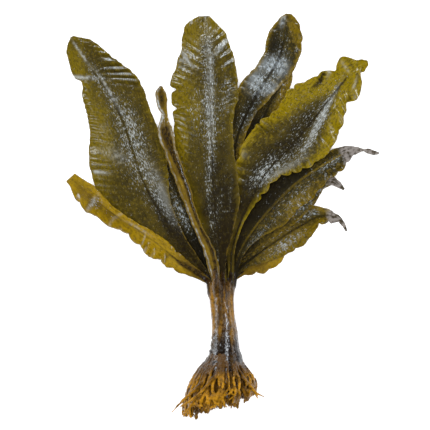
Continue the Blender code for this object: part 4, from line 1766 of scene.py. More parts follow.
RIGHT_LARGE = Blade(
    "blade_right_large",
    PAINTED_LIT_OLIVE,
    (
        (8.3, -71.6, 19.2, 2.9, 2.9, 0, 0),
        (8.4, -68, 19.3, 2.9, 2.9, 0, 0),
        (9, -55, 20, 3, 3, 0, 0),
        (10, -35, 20.6, 4.6, 3, 0, 0),
        (18.5, -7, 20.8, 10, 3.4, -0.5, 0),
        (30, 19, 20.8, 19, 8, -1, 0),
        (46, 45, 20.6, 35, 13, -1, 0),
        (65, 65, 19.8, 39, 26, -0.5, -1.5),
        (80, 82, 18.4, 35, 33, 0, -3),
        (95, 100, 16, 36, 28, 0, -4),
        (110, 119, 12.6, 28, 20, 0, -4),
        (123, 135, 9, 18, 19, 0, -2),
        (132, 146.5, 6.2, 12.5, 11, 1, 0),
        (139.5, 151.5, 4.4, 5, 7, 1, 0),
        (146.5, 153, 3.2, 2, 2.5, 0, 0),
    ),
    Ruffle(pitch=10.0, rise=1.6, lobe=3.0, inner=0.3, start=80.0, lean=10.0, scallop=13.0),
    101,
    # Golden tone, a painted shadow where it lies under the centre blade, painted shade in its folds,
    # and painted glints and sheen.
    (
        Patch(Tone.GOLD, 96, 132, 50, 14, 36, 1),
        Patch(Tone.GOLD, 8.8, -55, 14, 2.2, 88, 0.8),
        Patch(Tone.GOLD, 114, 92, 34, 10, 72, 0.8),
        Patch(Tone.GOLD, 128, 140, 22, 18, 45, 1),
        Patch(Tone.DARK, 26, 22, 40, 13, 62, 0.9),
        Patch(Tone.DARK, 60, 62, 34, 16, 45, 0.65),
        Patch(Tone.BLOOM, 97, 92, 36, 4.5, 64, 0.95),
        Patch(Tone.PAINTED_SHEEN, 99, 97, 30, 2.2, 62, 0.8),
        Patch(Tone.PAINTED_SHEEN, 62, 46, 20, 3, 30, 0.4),
        Patch(Tone.DARK, 84, 96, 34, 11, 52, 0.6),
        Patch(Tone.BLOOM, 84, 96, 38, 15, 52, 0.3),
        Patch(Tone.DARK, 100, 138, 8, 2.6, 70, 0.75),
        Patch(Tone.DARK, 92, 128, 12, 3, 50, 0.5),
        Patch(Tone.DARK, 118, 128, 15, 4.5, 58, 0.45),
        Patch(Tone.DARK, 130, 150, 8, 2.6, 125, 0.55),
        Patch(Tone.DARK, 136, 137, 6, 2.4, 80, 0.45),
        Patch(Tone.DARK, 126, 112, 10, 3, 80, 0.4),
        Patch(Tone.PAINTED_SHEEN, 107, 143, 7, 1.6, 75, 0.35),
        Patch(Tone.PAINTED_SHEEN, 124, 148, 7, 1.6, 125, 0.45),
        Patch(Tone.PAINTED_SHEEN, 133, 132, 7, 1.4, 70, 0.45),
        Patch(Tone.BLOOM, 60, 52, 30, 9, 38, 0.45),
        Patch(Tone.BLOOM, 42, 42, 20, 10, 50, 0.7),
    ),
    (
        Nick(258, Side.LEFT, -4.5, 4),
        Nick(246, Side.LEFT, 3, 3.5),
        Nick(265, Side.LEFT, 2, 2.2),
        Nick(270, Side.RIGHT, -2, 2.6),
        Nick(262, Side.RIGHT, 2, 3),
        Nick(227, Side.RIGHT, 3.5, 4),
        Nick(238, Side.RIGHT, -2.5, 4),
        Nick(205, Side.LEFT, -2, 10),
    ),
    (Surge(232, Side.RIGHT, 12, 0.5), Surge(175, Side.RIGHT, 16, 0.3)),
    edge_gold=0.8,
    edge_width=8.0,
    foot_painted_shade=0.5,
    swell=2.2,
    pleat=0.12,
)
CENTRE = Blade(
    "blade_centre",
    OLIVE,
    (
        (1.3, -71.6, 23, 3.8, 3.8, 0, 0),
        (1.2, -68, 23.2, 3.8, 3.8, 0, 0),
        (-0.5, -45, 25.2, 8.5, 4.8, -0.5, 0.5),
        (-3, -25, 26.2, 11.5, 12.5, -0.5, 1.5),
        (-6, -5, 26.8, 16, 20, -1.5, 1.5),
        (-7.5, 15, 26.6, 22.5, 25, -2.5, 1),
        (-9, 40, 26, 29, 24, -4, 0),
        (-10, 65, 25, 36, 22, -8.5, 0),
        (-11, 90, 23, 37, 22, -8, 0),
        (-12, 115, 20.4, 38, 28, -6, -1),
        (-13.5, 140, 16.6, 37, 28, -4, -2),
        (-16, 165, 11.2, 26, 25, -2, -1),
        (-18, 184, 5.8, 20.5, 19, 0, 0),
        (-18.3, 193.5, 3.2, 15.5, 11, 0, 0),
        (-18.5, 199.5, 1.8, 5, 5.5, 0, 0),
    ),
    Ruffle(
        pitch=9.0,
        rise=0.9,
        lobe=2.2,
        inner=0.35,
        start=50.0,
        left=0.4,
        right=0.25,
        lean=-14.0,
        left_lean=-18.0,
    ),
    113,
    # Painted glints and sheen, golden tone, painted shade in the valley of its right half and near the
    # crown, and darker places between its left flaps.
    (
        Patch(Tone.BLOOM, -14, 160, 30, 5, 94, 0.45),
        Patch(Tone.GOLD, -16, 186, 14, 20, 90, 0.6),
        Patch(Tone.BLOOM, -12.5, 108, 40, 6.5, 91, 0.75),
        Patch(Tone.BLOOM, -25, 100, 36, 9, 95, 0.35),
        Patch(Tone.BLOOM, -11, 50, 36, 5, 88, 0.6),
        Patch(Tone.BLOOM, -5, -2, 26, 5, 80, 0.45),
        Patch(Tone.BLOOM, 4, 118, 34, 8, 78, 0.4),
        Patch(Tone.BLOOM, 8, 80, 26, 6, 85, 0.22),
        Patch(Tone.BLOOM, -31, 160, 13, 2, 140, 0.6),
        Patch(Tone.BLOOM, -2, 164, 13, 2, 50, 0.6),
        Patch(Tone.BLOOM, -37, 148, 9, 2.5, 20, 0.6),
        Patch(Tone.GOLD, -42, 118, 26, 13, 92, 1.5),
        Patch(Tone.DARK, -31, 118, 8, 3, 100, 0.45),
        Patch(Tone.DARK, -37, 98, 7, 2.5, 120, 0.45),
        Patch(Tone.DARK, -36, 136, 6, 2.5, 60, 0.4),
        Patch(Tone.GOLD, -1.5, -50, 18, 1.1, 88, 1),
        Patch(Tone.GOLD, 1.4, -64, 9, 3.2, 90, 0.7),
        Patch(Tone.GOLD, 4.2, -46, 18, 1, 84, 0.9),
        Patch(Tone.BLOOM, -4, -44, 20, 1.3, 92, 0.7),
        Patch(Tone.GOLD, -30, 168, 24, 9, 100, 0.7),
        Patch(Tone.GOLD, -38, 75, 22, 6, 92, 0.7),
        Patch(Tone.GOLD, -24, 100, 26, 6, 90, 0.5),
        Patch(Tone.PAINTED_SHEEN, -12, 146, 34, 2.8, 94, 0.5),
        Patch(Tone.PAINTED_SHEEN, -11.5, 96, 30, 2.6, 91, 0.3),
        Patch(Tone.PAINTED_SHEEN, -35, 156, 11, 1.8, 125, 0.8),
        Patch(Tone.PAINTED_SHEEN, -1, 168, 11, 1.8, 50, 0.8),
        Patch(Tone.DARK, -3, 10, 64, 22, 90, 0.9),
        Patch(Tone.DARK, 2, -25, 40, 6, 84, 0.9),
        Patch(Tone.GOLD, 4.5, -8, 22, 1.5, 86, 1),
        Patch(Tone.BLOOM, -13, 12, 34, 2, 96, 0.4),
        Patch(Tone.BLOOM, 9, 30, 34, 2, 88, 0.4),
    ),
    (
        Nick(199.5, Side.LEFT, 5, 2.2),
        Nick(180, Side.LEFT, 4.5, 2.2),
        Nick(222, Side.LEFT, 1.8, 5),
        Nick(178, Side.RIGHT, 2, 4),
    ),
    (
        Surge(228, Side.LEFT, 20, 0.9),
        Surge(230, Side.RIGHT, 20, 0.8),
        Surge(190, Side.RIGHT, 14, 0.5),
    ),
    edge_gold=0.6,
    edge_width=6.0,
    foot_painted_shade=0.15,
    foot_length=50.0,
    fold_painted_highlight=0.8,
    swell=1.8,
    pleat=0.08,
    step=0.98,
)
ROLLED = RolledBlade(
    "blade_rolled",
    GOLDEN,
    (
        (-5.5, -71.6, 27.2, 3.8, 3.8, 0, 0),
        (-5.6, -68, 27.4, 3.8, 3.8, 0, 0),
        (-9, -50, 29.4, 5, 5, 0, 0),
        (-14, -33, 30.4, 4.9, 4.9, 0, 0),
        (-24, -12, 30.4, 4.4, 4.4, 0, 0),
        (-31.5, 8, 29.6, 4.4, 4.4, 0, 0),
        (-36, 22, 28.8, 5, 5, 0, 0),
        (-45.5, 48, 27, 5.7, 5.7, 0, 0),
        (-51.5, 65, 25, 6.2, 6.2, 0, 0),
        (-56, 80, 22, 8, 8, 0, 0),
        (-57.5, 90, 19.6, 6.5, 6.5, 0, 0),
        (-57.5, 97, 17.6, 3.8, 3.8, 0, 0),
        (-57.5, 102, 16.4, 3, 3, 0, 0),
        (-59.5, 108, 15.4, 4.8, 4.8, 0, 0),
        (-60.5, 116, 14.2, 6, 6, 0, 0),
        (-61.5, 123, 13.2, 4.8, 4.8, 0, 0),
        (-61, 129, 12.2, 1.2, 1.2, 0, 0),
    ),
    Ruffle(rise=0.3, lobe=0.3, start=40.0),
    127,
    # Painted shade inside the channel, a darker paddle, and a painted glint.
    (
        Patch(Tone.DARK, -56, 82, 10, 5, 100, 0.8),
        Patch(Tone.DARK, -60.5, 116, 10, 3.6, 95, 0.95),
        Patch(Tone.DARK, -52, 66, 22, 2.6, 110, 0.8),
        Patch(Tone.BLOOM, -58.5, 98, 8, 2.5, 95, 0.7),
    ),
    edge_gold=0.4,
    edge_width=3.0,
    foot_painted_shade=0.2,
    foot_length=20.0,
    swell=0.2,
    crinkle=0.15,
    dew_and_painted_glint=0.0,
    left_painted_gleam=1.4,
    right_dark=1.2,
    painted_lit_rim=0.3,
    rib_strength=0.0,
    step=0.9,
)

BLADES: tuple[Blade, ...] = (
    LEFT_INNER,
    BEHIND_UPPER,
    LOWER_UNDER,
    LEFT_LARGE,
    LEFT_STRAP,
    LOWER_RIGHT,
    RIGHT_SHORT,
    RIGHT_LONG,
    UPPER_RIGHT,
    RIGHT_LARGE,
    CENTRE,
    ROLLED,
)


@dataclass
class SolidPile:
    """Overlapping closed tubes that are fused into one skin.

    Args:
        voxel: Size of the fused skin's cells, in millimetres.
        points: Vertices of each tube so far.
        faces: Vertex numbers of each face so far.
        guides: Axis points, radii and marks of the tubes so far.
        count: Number of vertices so far.
    """

    voxel: float
    points: list[Array] = field(default_factory=list)
    faces: list[list[int]] = field(default_factory=list)
    guides: list[Array] = field(default_factory=list)
    count: int = 0

    def tube(self, path: Array, radii: Array, sides: int = 12, marks: Array | None = None) -> None:
        """Adds a round tube with closed ends.

        Args:
            path: Points of its axis.
            radii: Radius at each point.
            sides: Number of faces around.
            marks: Numbers kept for each point of the axis, read back for the fused skin.
        """
        heading = unit(np.gradient(path, axis=0))
        first = unit(np.cross(heading, np.array((0.13, 0.21, 0.97))))
        second = np.cross(heading, first)
        angle = np.arange(sides) * math.tau / sides
        ring = first[:, None, :] * np.cos(angle)[None, :, None]
        ring = ring + second[:, None, :] * np.sin(angle)[None, :, None]
        self._rings(path[:, None, :] + ring * radii[:, None, None])
        if marks is not None:
            self.guides.append(np.concatenate([path, radii[:, None], marks], axis=1))

    def _rings(self, rings: Array) -> None:
        """Adds a closed skin.

        Args:
            rings: Its points, ring by ring.
        """
        rows, sides = rings.shape[:2]
        number = np.arange(rows * sides).reshape(rows, sides) + self.count
        following = np.roll(number, -1, axis=1)
        quads = np.stack([number[:-1], following[:-1], following[1:], number[1:]], axis=-1)
        self.faces.extend(quads.reshape(-1, 4).tolist())
        self.faces.append(number[0, ::-1].tolist())
        self.faces.append(number[-1].tolist())
        self.points.append(rings.reshape(-1, 3))
        self.count += rows * sides

    def sections(self, rows: Array, sides: int, shape: Callable[[Array, Array], Array]) -> None:
        """Adds a lathe-like body.

        Args:
            rows: Section rows of y, x, z, half width and half depth.
            sides: Number of faces around.
            shape: Radius factor for grids of y and angle.
        """
        angle = np.arange(sides) * math.tau / sides
        y = np.repeat(rows[:, 0:1], sides, axis=1)
        turn = np.repeat(angle[None, :], len(rows), axis=0)
        factor = shape(y, turn)
        x = rows[:, 1:2] + rows[:, 3:4] * factor * np.cos(turn)
        z = rows[:, 2:3] + rows[:, 4:5] * factor * np.sin(turn)
        self._rings(np.stack([x, y, z], axis=-1))

    def fused(self, name: str, smoothing: int = 2) -> bpy.types.Object:
        """Fuses the pile.

        Args:
            name: The piece's name.
            smoothing: How often the skin is smoothed.

        Returns:
            One object with a single skin.
        """
        rough = mesh_object(name + "_rough", np.concatenate(self.points), self.faces)
        remesh = rough.modifiers.new("fuse", "REMESH")
        remesh.mode = "VOXEL"
        remesh.voxel_size = self.voxel * MM
        remesh.adaptivity = 0.0
        soften = rough.modifiers.new("soften", "SMOOTH")
        soften.factor = 0.5
        soften.iterations = smoothing
        bpy.context.view_layer.update()
        graph = bpy.context.evaluated_depsgraph_get()
        mesh = bpy.data.meshes.new_from_object(rough.evaluated_get(graph))
        mesh.name = name
        mesh.shade_smooth()
        mesh.materials.clear()
        old = rough.data
        bpy.data.objects.remove(rough)
        bpy.data.meshes.remove(old)
        return new_object(name, mesh)

    def nearest_marks(self, points: Array) -> Array:
        """Reads the marks of the tube that is nearest to each point.

        Args:
            points: Points on the fused skin.

        Returns:
            Rows of the clearance from that tube's skin and its marks.
        """
        guides = np.concatenate(self.guides)
        tree = KDTree(len(guides))
        for index, guide in enumerate(guides):
            tree.insert(guide[:3], index)
        tree.balance()
        found = np.empty((len(points), guides.shape[1] - 3))
        for index, point in enumerate(points):
            _, near, distance = tree.find(point)
            found[index, 0] = distance - guides[near, 3]
            found[index, 1:] = guides[near, 4:]
        return found


def skin_points(made: bpy.types.Object) -> tuple[Array, Array]:
    """Reads an object's vertices.

    Args:
        made: The object.

    Returns:
        Plan points and normals.
    """
    mesh = made.data
    points = np.empty(len(mesh.vertices) * 3, dtype=np.float32)
    mesh.vertices.foreach_get("co", points)
    normals = np.empty(len(mesh.vertices) * 3, dtype=np.float32)
    mesh.vertex_normals.foreach_get("vector", normals)
    return points.reshape(-1, 3) / MM - PLAN_SHIFT, normals.reshape(-1, 3)


def set_points(made: bpy.types.Object, points: Array) -> None:
    """Moves an object's vertices to plan points."""
    made.data.vertices.foreach_set("co", placed(points).astype(np.float32).ravel())
    made.data.update()


STIPE_SECTIONS = (
    (-52.0, -1.5, 14.4, 2.0, 2.0),
    (-58.0, -1.5, 14.6, 6.0, 4.6),
    (-64.0, -1.5, 15.0, 10.4, 8.6),
    (-70.0, -1.5, 15.8, 13.2, 12.0),
    (-76.0, -1.4, 16.6, 12.6, 12.0),
    (-82.0, -0.6, 17.6, 11.3, 11.0),
    (-96.0, 0.6, 20.0, 11.2, 10.8),
    (-112.0, 2.2, 22.8, 12.0, 11.4),
    (-126.0, 2.8, 25.2, 13.4, 12.6),
    (-138.0, 2.8, 27.2, 15.6, 14.4),
    (-144.0, 2.0, 28.2, 17.8, 16.0),
    (-149.0, 1.0, 28.8, 20.4, 17.8),
    (-156.0, -0.4, 28.4, 22.0, 19.0),
)
FOOT_DOWN = (-128.0, -118.0, -106.0, -94.0, -84.0, -77.0)
FOOT_INSET = (4.5, 3.2, 2.4, 2.0, 1.8, 1.6)
FOOT_ALONG = (0.0, 5.0, 10.0, 15.0, 21.0, 28.0, 36.0)
FOOT_DROP = (0.2, 0.7, 1.4, 2.2, 3.0)
FOOT_RADII = (1.4, 2.0, 2.5, 2.8, 3.0, 3.0, 3.0, 2.9, 2.6, 2.2, 1.7, 1.1, 0.5)


@dataclass
class Stipe:
    """The stalk with the ribs that the blades' feet make on it.

    Args:
        foot_radius: Thickest radius of a blade's foot.
        channel_radius: The same for the rolled blade.
        axis_height: Height of the stalk's axis half way down.
        girth: Radius half way down.
        nub: Plan place of the knuckle with rings around it.
    """

    foot_radius: float = 3.0
    channel_radius: float = 4.3
    axis_height: float = 22.0
    girth: float = 12.0
    nub: tuple[float, float] = (3.0, -122.0)

    def build(self, effects: Effects, blades: Sequence[Blade]) -> bpy.types.Object:
        """Fuses the stalk and the blades' feet.

        Args:
            effects: The shared shader groups.
            blades: The blades whose feet run into the stalk.

        Returns:
            The stipe's object.
        """
        pile = SolidPile(0.75)
        rows = np.array(STIPE_SECTIONS)
        fine = np.linspace(rows[0, 0], rows[-1, 0], 90)
        sections = np.column_stack([fine, through(-rows[:, 0], rows[:, 1:], -fine)])
        pile.sections(sections, 72, self._lobes)
        for blade in blades:
            self._foot(pile, blade, rows)
        made = pile.fused("stipe")
        points, normals = skin_points(made)
        around = np.arctan2(points[:, 2] - self.axis_height, points[:, 0]) * self.girth
        set_points(made, points + normals * self._bumps(points, around)[:, None])
        self._lay_tones(made.data, points, around)
        made.data.materials.append(STIPE_SKIN.material(effects))
        settle(made, ("stipe",))
        LOG.info("stipe: %d faces", len(made.data.polygons))
        return made

    def _bumps(self, points: Array, around: Array) -> Array:
        """Height of the fine ribs, knuckles and pebbles on the stalk.

        Args:
            points: Points of its skin.
            around: Place of each point around the stalk.

        Returns:
            The height over the skin.
        """
        x, y, z = points.T
        lines = 0.28 * relief(around, y, 1.6, 30.0, 7) + 0.14 * relief(around, y, 0.8, 14.0, 8)
        above = smooth((-y - 106.0) / 14.0) * smooth((z - 18.0) / 12.0)
        knuckles = 1.0 * relief(x, y, 6.5, 2.6, 9) * above
        nub = np.hypot(x - self.nub[0], y - self.nub[1])
        rings = 0.5 * np.cos(nub * 1.5) * np.exp(-nub / 7.0)
        knuckles = knuckles + (z > 26.0) * (1.3 * bell(nub, 0.0, 2.4) + rings)
        pebbles = 0.20 * relief(x + z, y, 1.7, 1.5, 10) + 0.10 * relief(x - z, y, 0.9, 0.9, 11)
        return lines + knuckles + pebbles

    def _lay_tones(self, mesh: bpy.types.Mesh, points: Array, around: Array) -> None:
        """Stores how glossy, golden and dark the stalk is, with painted glints on its lit sides and
        painted shade under the crown.

        Args:
            mesh: The stalk's mesh.
            points: Points of its skin.
            around: Place of each point around the stalk.
        """
        x, y, z = points.T
        across = (x - 1.0) / self.girth
        # Painted highlights: glints along the two lit sides of the upper half and at the far edges,
        # fewer under the crown where the blades shade it.
        lit = bell(x, -6.5, 2.2) + 0.85 * bell(x, 4.6, 2.4)
        crown = smooth((y + 92.0) / 28.0)
        wet_and_painted_glint = (0.12 + 1.0 * lit) * smooth((z - 24.0) / 8.0) * (1 - 0.85 * crown)
        wet_and_painted_glint = wet_and_painted_glint + 0.12 * np.minimum(np.abs(across), 1.0) ** 3
        give_attribute(mesh, Tone.BLOOM.value, wet_and_painted_glint)
        warm = 1.3 * bell(x, -10.0, 2.6) + 0.7 * bell(x, 9.5, 2.5)
        stripes = 0.22 * relief(around, y, 1.5, 16.0, 12)
        # Golden bands along both sides and stripes; less gold towards the foot, and less under the
        # crown, where it is painted as shaded.
        gold = 0.38 + stripes + 0.5 * warm - 0.38 * smooth((-y - 112.0) / 24.0) - 0.25 * crown
        give_attribute(mesh, Tone.GOLD.value, gold)
        # Darker towards the foot; painted shade under the crown, stronger on the underside.
        low = 1 + 0.6 * (z < self.axis_height)
        dark = 0.72 * smooth((-y - 108.0) / 24.0) + 0.45 * crown * low - stripes
        give_attribute(mesh, Tone.DARK.value, dark)

    @staticmethod
    def _lobes(y: Array, turn: Array) -> Array:
        """Radius factor of the stalk's blunt ribs."""
        ribs = 0.03 * np.cos(6 * turn + 0.6) * (1.4 - smooth((-y - 90.0) / 50.0))
        return 1 + ribs + 0.02 * np.sin(11 * turn + y * 0.03)

    def _foot(self, pile: SolidPile, blade: Blade, rows: Array) -> None:
        """Adds the foot of one blade, from the stalk's skin up to where the blade widens.

        Args:
            pile: Where the foot goes.
            blade: The blade.
            rows: The stalk's sections.
        """
        start = blade.centre(np.array([0.0]))[0]
        wide = self.channel_radius if isinstance(blade, RolledBlade) else self.foot_radius
        down, inset = np.array(FOOT_DOWN), np.array(FOOT_INSET)
        axis = through(-rows[:, 0], rows[:, 1:], -down)
        lean = np.array((start[0] + 1.4, start[2] - 15.8)) / np.array((13.6, 12.4))
        lean /= max(np.linalg.norm(lean), 0.55)
        root_x = axis[:, 0] + lean[0] * (axis[:, 2] - inset)
        root_z = axis[:, 1] + lean[1] * (axis[:, 3] - inset)
        root = np.column_stack([root_x, down, root_z])
        path = np.concatenate([root, blade.centre(np.array(FOOT_ALONG))])
        radii = np.array(FOOT_RADII) / 3.0 * wide
        path[-len(FOOT_DROP) :, 2] -= np.array(FOOT_DROP)
        path[:, 2] = np.maximum(path[:, 2], radii + 0.4)
        knots = np.arange(len(path), dtype=float)
        fine = np.linspace(0.0, len(path) - 1.0, 60)
        pile.tube(through(knots, path, fine), np.interp(fine, knots, radii), 14)


@dataclass(frozen=True)
class Skirt:
    """One layer of haptera around the foot.

    Args:
        count: Number of haptera.
        sink: Depth of the layer below the skirt's surface.
        first: How far down the skirt they start.
    """

    count: int
    sink: float
    first: float


@dataclass
class Holdfast:
    """The foot of the plant: a body under a skirt of forking, root-like haptera.

    Args:
        outer: The outer layer of haptera.
        middle: The layer behind it.
        inner: Number of blunt ends that fill the foot.
        middle_of_foot: Plan x and z that they stand around.
        slant: Rise of the lower edge from left to right.
        seed: Picks their wandering.
        skirt_shares: How far down the skirt its sizes are given.
        skirt_wide: Half widths there.
        skirt_deep: Half depths there.
        body_shares: How far down the body its sizes are given.
        body_wide: Half widths there.
    """

    outer: Skirt = Skirt(38, 0.6, -0.14)
    middle: Skirt = Skirt(32, 5.5, 0.22)
    inner: int = 124
    middle_of_foot: tuple[float, float] = (-2.5, 27.4)
    slant: float = 0.27
    seed: int = 5
    skirt_shares: tuple[float, ...] = (-0.16, 0.0, 0.12, 0.28, 0.5, 0.75, 1.0)
    skirt_wide: tuple[float, ...] = (12.4, 16.6, 21.4, 28.0, 33.6, 36.4, 36.0)
    skirt_deep: tuple[float, ...] = (11.4, 14.8, 19.0, 24.4, 29.0, 30.4, 29.6)
    body_shares: tuple[float, ...] = (-0.15, 0.0, 0.12, 0.28, 0.5, 0.7, 0.8)
    body_wide: tuple[float, ...] = (14.6, 17.0, 19.2, 22.0, 24.5, 23.5, 12.0)

    def build(self, effects: Effects) -> bpy.types.Object:
        """Grows the haptera, fuses them and dresses them.

        Args:
            effects: The shared shader groups.

        Returns:
            The holdfast's object.
        """
        draw = np.random.default_rng(self.seed)
        pile = SolidPile(0.80)
        share = np.linspace(-0.15, 0.80, 24)
        x, y, z = self.axis(share)
        wide = np.interp(share, self.body_shares, self.body_wide)
        rows = np.column_stack([y, x, z, wide, wide * 0.87])
        pile.sections(rows, 48, lambda _, turn: 1 + 0.02 * np.cos(9 * turn))
        for skirt in (self.outer, self.middle):
            for number in range(skirt.count):
                self._grow(pile, draw, number, skirt)
        for number in range(self.inner):
            self._fill(pile, draw, number)
        self._ragged(pile)
        made = pile.fused("holdfast", 1)
        self._dress(made, pile)
        made.data.materials.append(HAPTERA_SKIN.material(effects))
        settle(made, ("holdfast",))
        LOG.info("holdfast: %d faces", len(made.data.polygons))
        return made

    @staticmethod
    def axis(share: Array) -> tuple[Array, Array, Array]:
        """Plan x, y and z of the skirt's axis, for how far down it the points are."""
        return 1.6 - 5.0 * share, -144.0 - 46.0 * share, 28.6 - 1.4 * share

    def slanted(self, x: Array | float, y: Array | float) -> Array | float:
        """The y of a point once the foot is slanted."""
        return y + self.slant * x * smooth((-148.3 - y) / 34.0)

    def around(self, share: Array, turn: Array, sink: float, flare: float) -> Array:
        """Points on the skirt.

        Args:
            share: How far down the skirt, from 0 to 1.
            turn: Angle around it.
            sink: Depth below the skirt's surface.
            flare: Extra reach at the end.

        Returns:
            Plan points.
        """
        wide = np.interp(share, self.skirt_shares, self.skirt_wide) + flare * share - sink
        deep = np.interp(share, self.skirt_shares, self.skirt_deep) + flare * share * 0.8 - sink
        x, y, z = self.axis(share)
        x = x + wide * np.cos(turn)
        return np.stack([x, self.slanted(x, y), z + deep * np.sin(turn)], axis=-1)

    def _strand(
        self,
        pile: SolidPile,
        path: Array,
        radii: tuple[float, float],
        from_share: float,
        shade: float = 0.0,
    ) -> None:
        """Adds one hapteron that tapers, with knots along it.

        Args:
            pile: Where the tube goes.
            path: Points of its axis.
            radii: Radius at its start and at its end.
            from_share: How far down the skirt it starts.
            shade: How dark it is, partly painted shade for its depth in the foot and partly a random
                tone.
        """
        parts = np.linalg.norm(np.diff(path, axis=0), axis=1)
        length = np.concatenate([[0.0], np.cumsum(parts)])
        count = max(6, int(length[-1] / 1.6))
        at = np.linspace(0.0, length[-1], count)
        share = at / max(length[-1], 1e-6)
        knobs = 1 + 0.12 * wander(at + path[0, 0] * 3.1, 3.4, self.seed + 3)
        thick = (radii[0] + (radii[1] - radii[0]) * share**1.3) * knobs
        thick[-1] *= 0.55
        down = from_share + (1 - from_share) * share
        marks = np.stack([down, share, np.full(count, shade)], axis=-1)
        pile.tube(through(length, path, at), thick, 9, marks)

    def _grow(
        self, pile: SolidPile, draw: np.random.Generator, number: int, skirt: Skirt
    ) -> None:
        """Grows one hapteron of the skirt and its forks.

        Args:
            pile: Where the tubes go.
            draw: Seeded random numbers.
            number: Which one round the skirt.
            skirt: Its layer.
        """
        turn = math.tau * (number + draw.uniform(-0.3, 0.3)) / skirt.count
        front = max(0.0, math.sin(turn)) * (1 - abs(math.cos(turn)) ** 3)
        end = draw.uniform(0.86, 1.06) - 0.08 * front + skirt.sink * 0.034 * front
        # Painted shade that deepens with the layer's depth, plus a random tone, at most 0.6.
        shade = min(0.11 * skirt.sink + draw.uniform(-0.2, 0.5), 0.6)
        fork = draw.uniform(0.45, 0.72)
        swirl, flare = draw.uniform(-0.10, 0.10), draw.uniform(-2.0, 2.0)
        thick = draw.uniform(1.2, 1.9)
        steps = np.linspace(skirt.first, fork, 6)
        angles = turn + swirl * steps + 0.05 * wander(steps * 40.0, 9.0, number + skirt.count)
        trunk = self.around(steps, angles, skirt.sink, flare)
        self._strand(pile, trunk, (thick, thick * 0.9), skirt.first, shade)
        for spread in (-1.0, 1.0):
            if spread > 0 and draw.random() < 0.25:
                continue
            away = spread * draw.uniform(0.05, 0.16)
            steps = np.linspace(fork, end * draw.uniform(0.9, 1.04), 6)
            opening = (steps - fork) / (steps[-1] - fork)
            angles = turn + swirl * steps + away * opening
            angles = angles + 0.04 * wander(steps * 60.0, 8.0, number + 7)
            branch = self.around(steps, angles, skirt.sink, flare + draw.uniform(-2.0, 1.5))
            club = draw.uniform(0.5, 0.85) + front * draw.uniform(0.0, 0.3)
            self._strand(pile, branch, (thick * 0.9, thick * club), fork, shade)
            if draw.random() < 0.6:
                aside = draw.choice((-1.0, 1.0))
                twig = self._twig(branch, angles[-1], aside)
                self._strand(pile, twig, (thick * 0.55, thick * 0.35), 0.85, shade)

    @staticmethod
    def _twig(branch: Array, angle: float, aside: float) -> Array:
        """Path of a short side shoot near the end of a branch.

        Args:
            branch: Points of the branch.
            angle: Angle of its end around the skirt.
            aside: To which side the shoot turns, -1 or 1.

        Returns:
            Three points.
        """
        tip = branch[-2]
        ahead = unit(tip - branch[-3])
        quarter = angle + math.pi / 2
        across = np.array((math.cos(quarter), 0.0, math.sin(quarter))) * aside
        return np.stack([tip, tip + ahead * 2.5 + across * 1.4, tip + ahead * 5.0 + across * 3.4])

    def _fill(self, pile: SolidPile, draw: np.random.Generator, number: int) -> None:
        """Adds one blunt end inside the foot.

        Args:
            pile: Where the tube goes.
            draw: Seeded random numbers.
            number: Which one, from the middle outwards.
        """
        middle_x, middle_z = self.middle_of_foot
        turn = number * math.tau * GOLDEN_SHARE
        spread = 29.0 * math.sqrt((number + 0.5) / self.inner)
        x, z = middle_x + spread * math.cos(turn), middle_z + 0.86 * spread * math.sin(turn)
        reach = draw.uniform(19.5, 25.0)
        lean = draw.uniform(-0.35, 0.35, 2)
        steps = np.array((0.0, 0.5, 1.0))
        px = x + (x - middle_x) * 0.10 * steps + lean[0] * reach * steps**2
        pz = z + (z - middle_z) * 0.10 * steps + lean[1] * reach * steps**2
        py = -167.0 - reach * steps
        path = np.stack([px, self.slanted(px, py), pz], axis=-1)
        # The blunt ends inside the foot are darker, partly painted shade.
        self._strand(pile, path, (draw.uniform(1.6, 2.3), 1.3), 0.55, draw.uniform(0.45, 0.8))

    def _dress(self, made: bpy.types.Object, pile: SolidPile) -> None:
        """Roughens the fused skin and stores how glossy, golden and dark it is, with painted shade in
        the hollows and painted glints on the lit upper parts.

        Args:
            made: The holdfast's object.
            pile: The tubes that it was fused from.
        """
        points, normals = skin_points(made)
        clearance, down, tip, shade = pile.nearest_marks(points).T
        x, y, z = points.T
        bumps = 0.34 * relief(x + 0.6 * z, y, 1.9, 2.3, 3) + 0.14 * relief(x - z, y, 1.0, 1.1, 4)
        moved = points + normals * bumps[:, None]
        moved[:, 2] = np.maximum(moved[:, 2], 0.05)
        set_points(made, moved)
        # Painted shade in the hollows between haptera, weaker at their tips.
        painted_hollow_shade = smooth((clearance - 0.25) / 0.5) * (1 - 0.85 * tip)
        # Painted glints on the lit upper parts of the haptera.
        lit = bell(x, -6.5, 2.6) + 0.8 * bell(x, 5.0, 3.0)
        wet_and_painted_specks = (0.22 + 0.5 * lit) * (1 - smooth((down - 0.1) / 0.6)) * smooth((z - 22.0) / 16.0)
        # Golden towards the ends, less so where a strand is painted as shaded.
        gold = 0.02 + 0.75 * smooth((down - 0.34) / 0.6) * (1 - shade) + 0.12 * tip
        give_attribute(made.data, Tone.GOLD.value, gold)
        give_attribute(made.data, Tone.DARK.value, np.maximum(painted_hollow_shade, shade - 0.2))
        give_attribute(made.data, Tone.BLOOM.value, wet_and_painted_specks * (1 - painted_hollow_shade))

